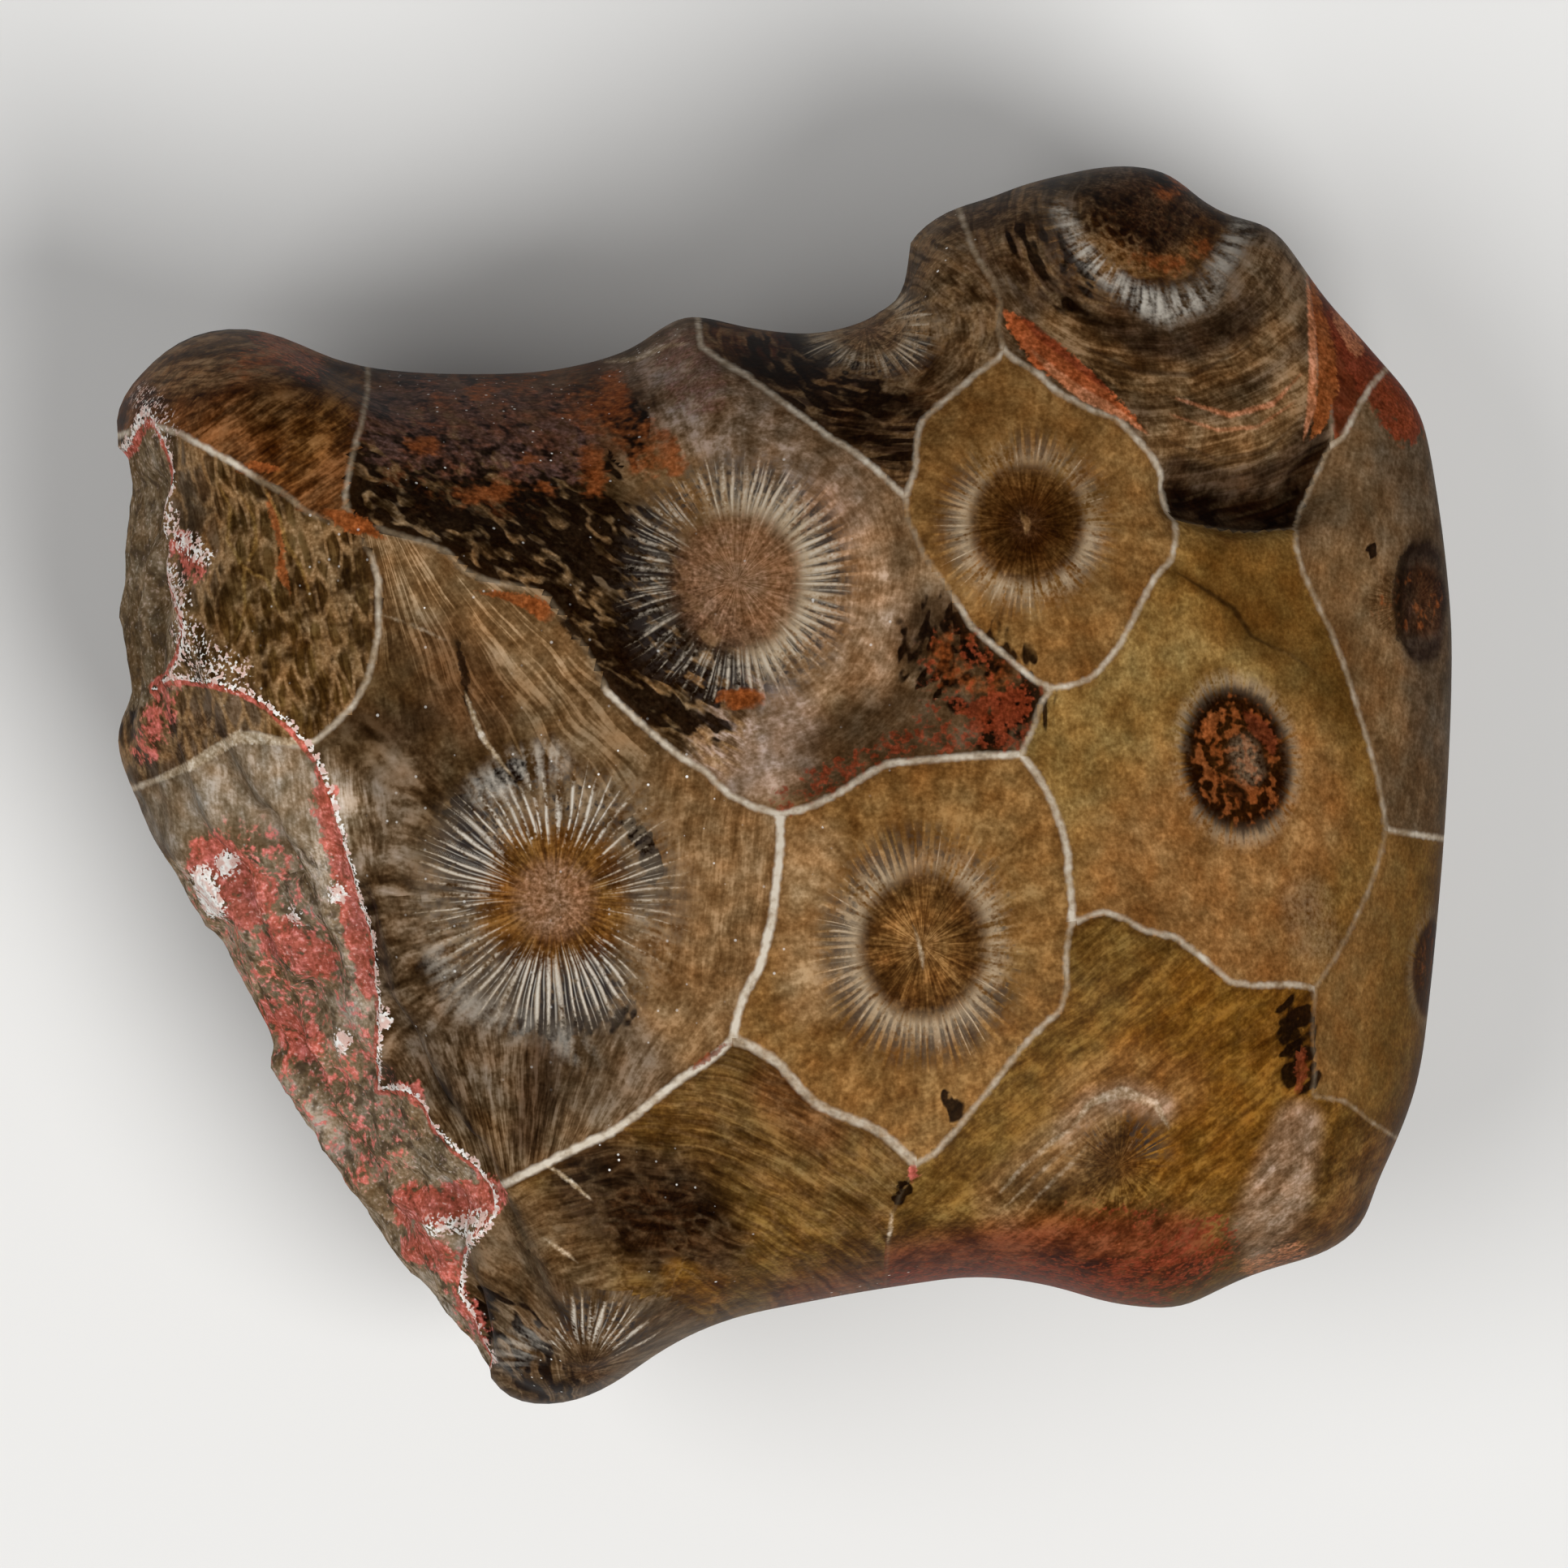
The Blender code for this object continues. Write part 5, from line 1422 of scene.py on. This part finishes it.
class StoneMaterial:
    """The polished coral: its cells, walls, cups, fibres and stains, and the rough break."""

    def __init__(self, tree):
        self.g = Graph(tree)
        g = self.g
        self.place = g.scaled(g.node("ShaderNodeTexCoord", {}, output="Object"), 1.0 / MM)
        noises = [g.noise(self.place, *look) for look in NOISES.values()]
        self.cloud, self.blotch, self.mottle, self.grain, self.warm = noises
        self.read_mesh()

    def read_mesh(self):
        """What dress() stored, under the names used here."""
        g = self.g
        self.across, self.along, self.ray_width = g.stored("flow")
        self.cup_x, self.cup_y, self.seed = g.stored("calice")
        self.ray_count, self.ray_pale, self.ray_dark = g.stored("rays")
        self.disc_dark, self.disc_orange, self.core = g.stored("disc")
        self.hair, self.net, self.radial = g.stored("fibre")
        self.smudge, self.combed, self.edge = g.stored("shade")
        self.wall_distance, self.wall_width, self.wall_strength = g.stored("wall")
        self.dark, self.orange, self.red = g.stored("stain")
        self.halo, self.pale, self.sparkle = g.stored("light")
        self.rough, self.crystal, self.brick = g.stored("rough")
        self.coral, self.frost, self.pink = g.stored("tint")
        self.spotted, self.in_disc, self.grainy = g.stored("amount")
        self.ground = g.stored_colour("ground")

    def patch(self, strength, noise, softness=0.16, contrast=1.9):
        """A patch with a ragged edge, which covers more where its strength is higher."""
        level = strength * 1.15 + noise * contrast
        return self.g.ramp(level, 0.5 - softness, 0.5 + softness) * self.g.ramp(strength, 0.02, 0.25)

    def toned(self, colour, tone):
        """Make a colour darker and browner, or lighter and paler, by the tone's power of e."""
        g = self.g
        tone = tone - g.math("MAXIMUM", tone - TONE_CAP, 0.0) * TONE_SQUASH
        parts = [tone * lean + self.warm * warmth for lean, warmth in zip(TONE_TINT, WARM_TINT)]
        vary = g.vector(*(g.math("EXPONENT", part) for part in parts))
        colour = COLOURS[colour] if isinstance(colour, str) else colour
        return g.node("ShaderNodeVectorMath", {0: colour, 1: vary}, operation="MULTIPLY")

    def spots(self):
        """Clouds, mottling and grains of the limestone."""
        broad = self.cloud * 1.3 + self.blotch * 1.3
        fine = self.mottle * 1.1 + self.grain * 1.5
        self.spot = broad + fine
        return broad * self.spotted + fine * (0.7 + self.spotted * 0.25)

    def fibres(self):
        """Dark and pale hairs that run along the cell's flow."""
        g = self.g
        self.swayed = self.across + g.noise(self.place, *SWAY) * SWAY_REACH
        broad, fine, strand, self.fleck = (self.drawn(*look) for look in HAIRS.values())
        self.streak = broad * 2.0 + fine * 4.2
        return self.streak * self.hair + (g.ramp(strand, 0.00, 0.16) * 1.00 - 0.35) * self.combed

    def drawn(self, across, along, detail, roughness):
        """Noise with so many waves a millimetre across the fibres and along them."""
        place = self.g.vector(self.swayed * across, self.along * along, self.seed)
        return self.g.noise(place, 1.0, detail, roughness)

    def blisters(self):
        """A net of thin pale walls round long blisters."""
        g = self.g
        blister = g.vector(self.swayed * BLISTER[0], self.along * BLISTER[1], self.seed)
        edge = g.cells(blister, 1.0, "DISTANCE_TO_EDGE")
        line = 1.0 - g.ramp(edge, *BLISTER_WALL)
        return line * self.net * g.ramp(self.blotch + self.cloud, -0.24, 0.10) * 0.7

    def polar(self):
        """The radius from the cup's middle and the direction from it."""
        g = self.g
        self.radius = g.math("SQRT", self.cup_x * self.cup_x + self.cup_y * self.cup_y + TINY)
        self.unit_x = self.cup_x / self.radius
        self.unit_y = self.cup_y / self.radius
        spokes = [self.spokes(*look) for look in SPOKES.values()]
        self.sector, self.fine_spokes, self.bend, self.waver = spokes

    def spokes(self, frequency, along, offset, detail):
        """Noise in streaks that run straight out from the cup, with no seam where the turn begins."""
        depth = self.radius * along + self.seed + offset
        place = self.g.vector(self.unit_x * frequency, self.unit_y * frequency, depth)
        return self.g.noise(place, 1.0, detail, SPOKE_ROUGHNESS)

    def streaks(self):
        """Fine streaks that run outwards from the cup."""
        return self.fine_spokes * self.radial * 3.4

    def disc(self):
        """How dark the middle of a cup is, with a ragged edge."""
        g = self.g
        ragged = self.in_disc + self.fine_spokes * 0.9 + self.grain * 0.4
        self.inside = g.ramp(ragged, 0.25, 0.75)
        rough = self.inside * (self.fine_spokes * 2.4 + self.grain * 0.8 + self.mottle * 0.6)
        return self.inside * self.disc_dark * -1.55 * (1.0 + self.fine_spokes) + rough

    def cup_colour(self, colour):
        """The pale halo round a cup, its rust patches and its grainy core."""
        g = self.g
        streaks = self.fine_spokes * 2.4 + self.sector * 1.2 + self.grain * 1.2
        veil = self.halo * g.ramp(streaks, -0.60, 0.30)
        colour = g.mix(veil * (1.0 - self.inside * 0.7), colour, "cream")
        rust = self.patch(self.disc_orange * 0.60, self.mottle * 1.0 + self.blotch * 0.6, 0.20)
        colour = g.mix(rust * self.inside * 0.9, colour, self.toned("rust", self.grain * 2.0))
        streaked, grainy = self.fine_spokes * (1.0 - self.grainy), self.grain * (1.0 + self.grainy)
        light = streaked * 2.4 + grainy * 1.6 + self.mottle
        core = self.toned(g.mix(self.core * 0.8, "core_dark", "core"), light)
        return g.mix(self.core * (1.0 + self.grain), colour, core)

    def ray_places(self):
        """Give each ray its chance, its room in millimetres, and how far across that room a place is."""
        g = self.g
        turn = g.math("ARCTAN2", self.cup_y, self.cup_x) / (2.0 * math.pi)
        steps = turn * self.ray_count + (self.bend * 1.6 + self.waver * 0.6)
        number = g.math("FLOORED_MODULO", g.math("FLOOR", steps), self.ray_count)
        chance = g.node("ShaderNodeTexWhiteNoise", {"Vector": g.vector(number, self.seed, 0.0)})
        return chance, self.radius * (2.0 * math.pi) / self.ray_count, g.math("FRACT", steps)

    def ray_strength(self, chance):
        """How pale a ray is. Some are paler than others, and grains and streaks break them up."""
        g = self.g
        rough = self.fine_spokes * 2.8 + self.grain * 2.0 + self.sector * 1.4
        strength = self.ray_pale - (1.18 - self.ray_pale) * chance * 1.1 + rough * (0.4 + self.ray_pale)
        strength = g.math("MINIMUM", g.math("MAXIMUM", strength, 0.0), 1.0)
        return strength * g.ramp(self.ray_pale, 0.0, 0.15)

    def rays(self, colour):
        """Straight pale plates that stand out from a cup, with dark gaps between them."""
        g = self.g
        chance, room, part = self.ray_places()
        off = g.math("ABSOLUTE", part - 0.5 + (chance - 0.5) * RAY_SHIFT) * room
        width = self.ray_width * (0.15 + self.ray_pale * 0.45 + chance * 0.80)
        width = g.math("MINIMUM", width, room * RAY_ROOM)
        gap = self.ray_dark * g.ramp(off, width * 0.9, width * 2.0)
        gap = gap * g.ramp(self.mottle * 1.4 + self.sector * 1.4 + self.grain, -0.30, 0.30) * 1.2
        colour = g.mix(gap, colour, "slate")
        line = 1.0 - g.ramp(off, width * 0.10, width * 1.60)
        thin = 1.0 - g.ramp((0.5 - g.math("ABSOLUTE", part - 0.5)) * room, 0.0, width * 0.9)
        thin = thin * 0.5 * g.ramp(self.fine_spokes + self.sector, 0.02, 0.16)
        strength = g.math("MAXIMUM", line, thin) * self.ray_strength(chance)
        return g.mix(strength, colour, g.mix(self.ray_pale, "cream", "bone"))

    def shadows(self, colour):
        """Dark blotches and dusky pink patches that lie under the rays."""
        g = self.g
        black = self.patch(self.dark, self.fleck * 1.3 + self.blotch * 0.4, 0.16)
        colour = g.mix(black * 0.96, colour, self.toned("soot", self.grain * 3.0 + self.mottle * 2.0))
        pink = self.patch(self.pink, self.blotch * -0.7 + self.mottle * 0.6, 0.4)
        return g.mix(pink * 0.8, colour, self.toned("dusty", self.grain * 2.4 + self.mottle))

    def stains(self, colour):
        """Orange, red, coral and pale patches."""
        g = self.g
        other = self.mottle * 0.9 + self.warm * 0.6
        orange = self.toned("rust", self.grain * 2.0 + self.blotch * 1.5 + self.mottle * 1.5)
        colour = g.mix(self.patch(self.orange, other, 0.42, 1.7) * 0.85, colour, orange)
        red = self.patch(self.red, self.mottle * 0.9 - self.warm * 0.4 + self.grain * 0.4, 0.20)
        colour = g.mix(red * 0.85, colour, self.toned("blood", self.grain * 2.4 + self.blotch * 1.6))
        coral = g.ramp(self.coral + self.mottle * 0.6 + self.grain * 0.5, 0.25, 0.65)
        colour = g.mix(coral * 0.85, colour, self.toned("coral", self.grain * 1.6 + self.blotch))
        flakes = self.fine_spokes * 2.2 + self.grain * 0.8 + self.mottle * 0.4
        colour = g.mix(self.frost * g.ramp(flakes, -0.45, 0.60), colour, "bone")
        return g.mix(self.pale * (0.6 + self.grain * 2.0 + self.mottle), colour, "cream")

    def veins(self, colour, name, wander):
        """Thin lines and small shapes, each in its own colour."""
        g = self.g
        away, half, strength = g.stored(name)
        depth = half - g.math("ABSOLUTE", away) + self.grain * wander + self.mottle * wander
        tone = self.grain * 2.2 + self.blotch * 2.2 + self.mottle * 1.6
        shade = self.toned(g.stored_colour(name + "_colour"), tone)
        return g.mix(g.ramp(depth, *VEIN_EDGE) * strength, colour, shade)

    def walls(self, colour):
        """Thin pale walls between the cells, with a darker edge on both sides."""
        g = self.g
        away = g.math("ABSOLUTE", self.wall_distance) + self.mottle * 0.12 + self.grain * 0.04
        half = self.wall_width * 0.5
        fading = g.ramp(away, half - WALL_EDGE[0], half + WALL_EDGE[1])
        self.wall = (1.0 - fading) * self.wall_strength
        shade = (1.0 - g.ramp(away, half, half + WALL_SHADE)) * self.wall_strength
        colour = g.mix(shade * 0.25, colour, "bark")
        milky = g.mix(self.wall_strength * 1.3 - 0.40 + self.blotch * 2.0, "wall", "milk")
        return g.mix(self.wall * (1.10 + self.blotch * 1.6 + self.grain), colour, milky)

    def specks(self, colour):
        """Painted glints: bright specks where tiny crystals catch the light."""
        g = self.g
        far = g.cells(self.place, SPECKS)
        chance = g.parts(far.sibling("Color"))[0]
        size = SPECK_SIZE[0] + chance * chance * SPECK_SIZE[1]
        speck = (1.0 - g.ramp(far, size * 0.5, size)) * g.ramp(self.sparkle + chance * 0.6, 0.90, 1.10)
        return g.mix(speck, colour, "chalk")

    def break_colour(self):
        """Grey-tan limestone with dark streaks and hollows."""
        g = self.g
        # On the break the darkening marks are painted shade by its left edge.
        base = self.toned("break", self.spot * 1.2 + self.streak * 0.50 - self.smudge * 2.0)
        hollow = 1.0 - g.ramp(self.blotch + self.streak * 0.05, -0.16, -0.02)
        return g.mix(hollow * 0.75, base, "break_dark")

    def crust(self, colour, on_break):
        """Brick-red patches and white crystals on the break, and both along its edge."""
        g = self.g
        wander = self.mottle * 0.30 + self.grain * 0.15
        depth = self.edge + wander
        inner = g.ramp(depth, *CRUST_START) * (1.0 - g.ramp(depth, *CRUST_END))
        brick = g.math("MAXIMUM", self.brick, inner * 0.75)
        red = self.patch(brick, self.blotch * 0.8 + self.mottle + self.grain * 0.5, 0.22)
        tinge = self.toned("brick", self.mottle * 2.4 + self.grain * 2.0 + self.blotch * 1.5)
        colour = g.mix(red * 0.88, colour, g.mix(g.ramp(self.grain, 0.10, 0.26) * 0.4, tinge, "pink"))
        away = g.math("ABSOLUTE", self.edge + CRYSTAL_LINE + wander * 0.6)
        outer = 1.0 - g.ramp(away, *CRYSTAL_END)
        crystal = g.math("MAXIMUM", g.math("MAXIMUM", self.crystal, outer * 0.60), on_break * 0.08)
        white = self.patch(crystal, self.mottle * 0.6 + self.grain * 1.4, 0.10)
        return g.mix(white, colour, g.mix(g.ramp(self.mottle, -0.10, 0.12) * 0.7, "chalk", "pink"))

    def height(self):
        """Relief too fine for the mesh: crumbs and pits on the break, and almost none on the polish."""
        relief = self.g.noise(self.place, *CRUMBS) + 0.5
        return relief * (POLISH_RELIEF + self.rough * BREAK_RELIEF)

    def build(self):
        """Put the layers together, from the cells' ground up to the break's crust."""
        g = self.g
        self.polar()
        tone = self.spots() + self.fibres() + self.streaks() + self.disc()
        # Darkening along the dark crack in cell c, and painted shade on the break by the left edge.
        tone = tone - self.smudge * (1.3 + self.mottle * 3.0)
        ground = g.mix(self.inside * self.disc_dark * 0.85, self.ground, "char")
        colour = self.toned(ground, tone)
        colour = g.mix(self.blisters(), colour, self.toned("buff", self.grain * 2.4 + self.mottle))
        colour = self.cup_colour(self.shadows(colour))
        colour = self.rays(colour)
        colour = self.stains(colour)
        colour = self.walls(colour)
        colour = self.veins(colour, "shape", 0.22)
        colour = self.veins(colour, "thread", 0.05)
        colour = self.specks(colour)
        on_break = g.ramp(self.rough + self.mottle * 0.5, 0.35, 0.65)
        colour = g.mix(on_break, colour, self.break_colour())
        colour = self.crust(colour, on_break)
        gloss = POLISH + self.mottle * 0.15 + self.wall * 0.08
        roughness = gloss + (BREAK_ROUGHNESS - gloss) * on_break
        bump = g.node("ShaderNodeBump", {"Strength": 1.0, "Distance": MM, "Height": self.height()})
        inputs = {"Base Color": colour, "Roughness": roughness, "Normal": bump}
        shader = g.node("ShaderNodeBsdfPrincipled", inputs | {"Specular IOR Level": SPECULAR})
        g.node("ShaderNodeOutputMaterial", {0: shader})


def stone_material():
    """The stone's one material."""
    material = bpy.data.materials.new("polished_coral_stone")
    material.use_nodes = True
    StoneMaterial(material.node_tree).build()
    return material


def plain_material(name, colour, roughness):
    """A material of one colour."""
    material = bpy.data.materials.new(name)
    material.use_nodes = True
    shader = material.node_tree.nodes["Principled BSDF"]
    shader.inputs["Base Color"].default_value = (*colour, 1.0)
    shader.inputs["Roughness"].default_value = roughness
    return material


def make_floor():
    """A wide pale floor under the stone."""
    mesh = bpy.data.meshes.new("floor")
    half = FLOOR_WIDTH / 2.0
    corners = [(-half, -half, 0), (half, -half, 0), (half, half, 0), (-half, half, 0)]
    mesh.from_pydata(corners, [], [(0, 1, 2, 3)])
    mesh.materials.append(plain_material("pale_floor", FLOOR_COLOUR, FLOOR_ROUGHNESS))
    floor = bpy.data.objects.new("floor", mesh)
    bpy.context.scene.collection.objects.link(floor)


def make_light(name, place, size, power):
    """A round lamp that faces the stone."""
    light = bpy.data.lights.new(name, "AREA")
    light.shape = "DISK"
    light.size = size
    light.energy = power
    lamp = bpy.data.objects.new(name, light)
    bpy.context.scene.collection.objects.link(lamp)
    lamp.location = place
    lamp.rotation_euler = (LOOK_AT - Vector(place)).to_track_quat("-Z", "Y").to_euler()


def make_world():
    """Soft studio surroundings: pale round the floor and dimmer overhead."""
    world = bpy.data.worlds.new("studio")
    world.use_nodes = True
    g = Graph(world.node_tree)
    height = g.parts(g.node("ShaderNodeTexCoord", {}, output="Generated"))[2]
    colour = g.mix(g.ramp(height, *HORIZON_FADE), HORIZON, OVERHEAD)
    shader = g.node("ShaderNodeBackground", {"Color": colour, "Strength": 1.0})
    g.node("ShaderNodeOutputWorld", {0: shader})
    bpy.context.scene.world = world


def make_camera():
    """Straight above the stone, as the photograph was taken, with its scale at the rim's height."""
    camera = bpy.data.cameras.new("camera")
    camera.sensor_width = SENSOR_WIDTH
    camera.lens = SENSOR_WIDTH * CAMERA_DISTANCE * PIXELS_PER_MM / PHOTO_SIDE
    camera.clip_start, camera.clip_end = CAMERA_CLIP
    eye = bpy.data.objects.new("camera", camera)
    eye.location = (0.0, 0.0, (CAMERA_DISTANCE + RIM_HEIGHT) * MM)
    bpy.context.scene.collection.objects.link(eye)
    bpy.context.scene.camera = eye


stone = fine_mesh(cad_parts[NODE])
surface = Surface(stone.data)
dress(surface)
carve(surface)
stone.data.shade_smooth()
stone.data.materials.append(stone_material())
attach(stone, "root")
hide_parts(NODE)

make_floor()
make_world()
for lamp, (place, size, power) in LAMPS.items():
    make_light(lamp, place, size, power)
make_camera()
bpy.context.scene.view_settings.view_transform = "Standard"
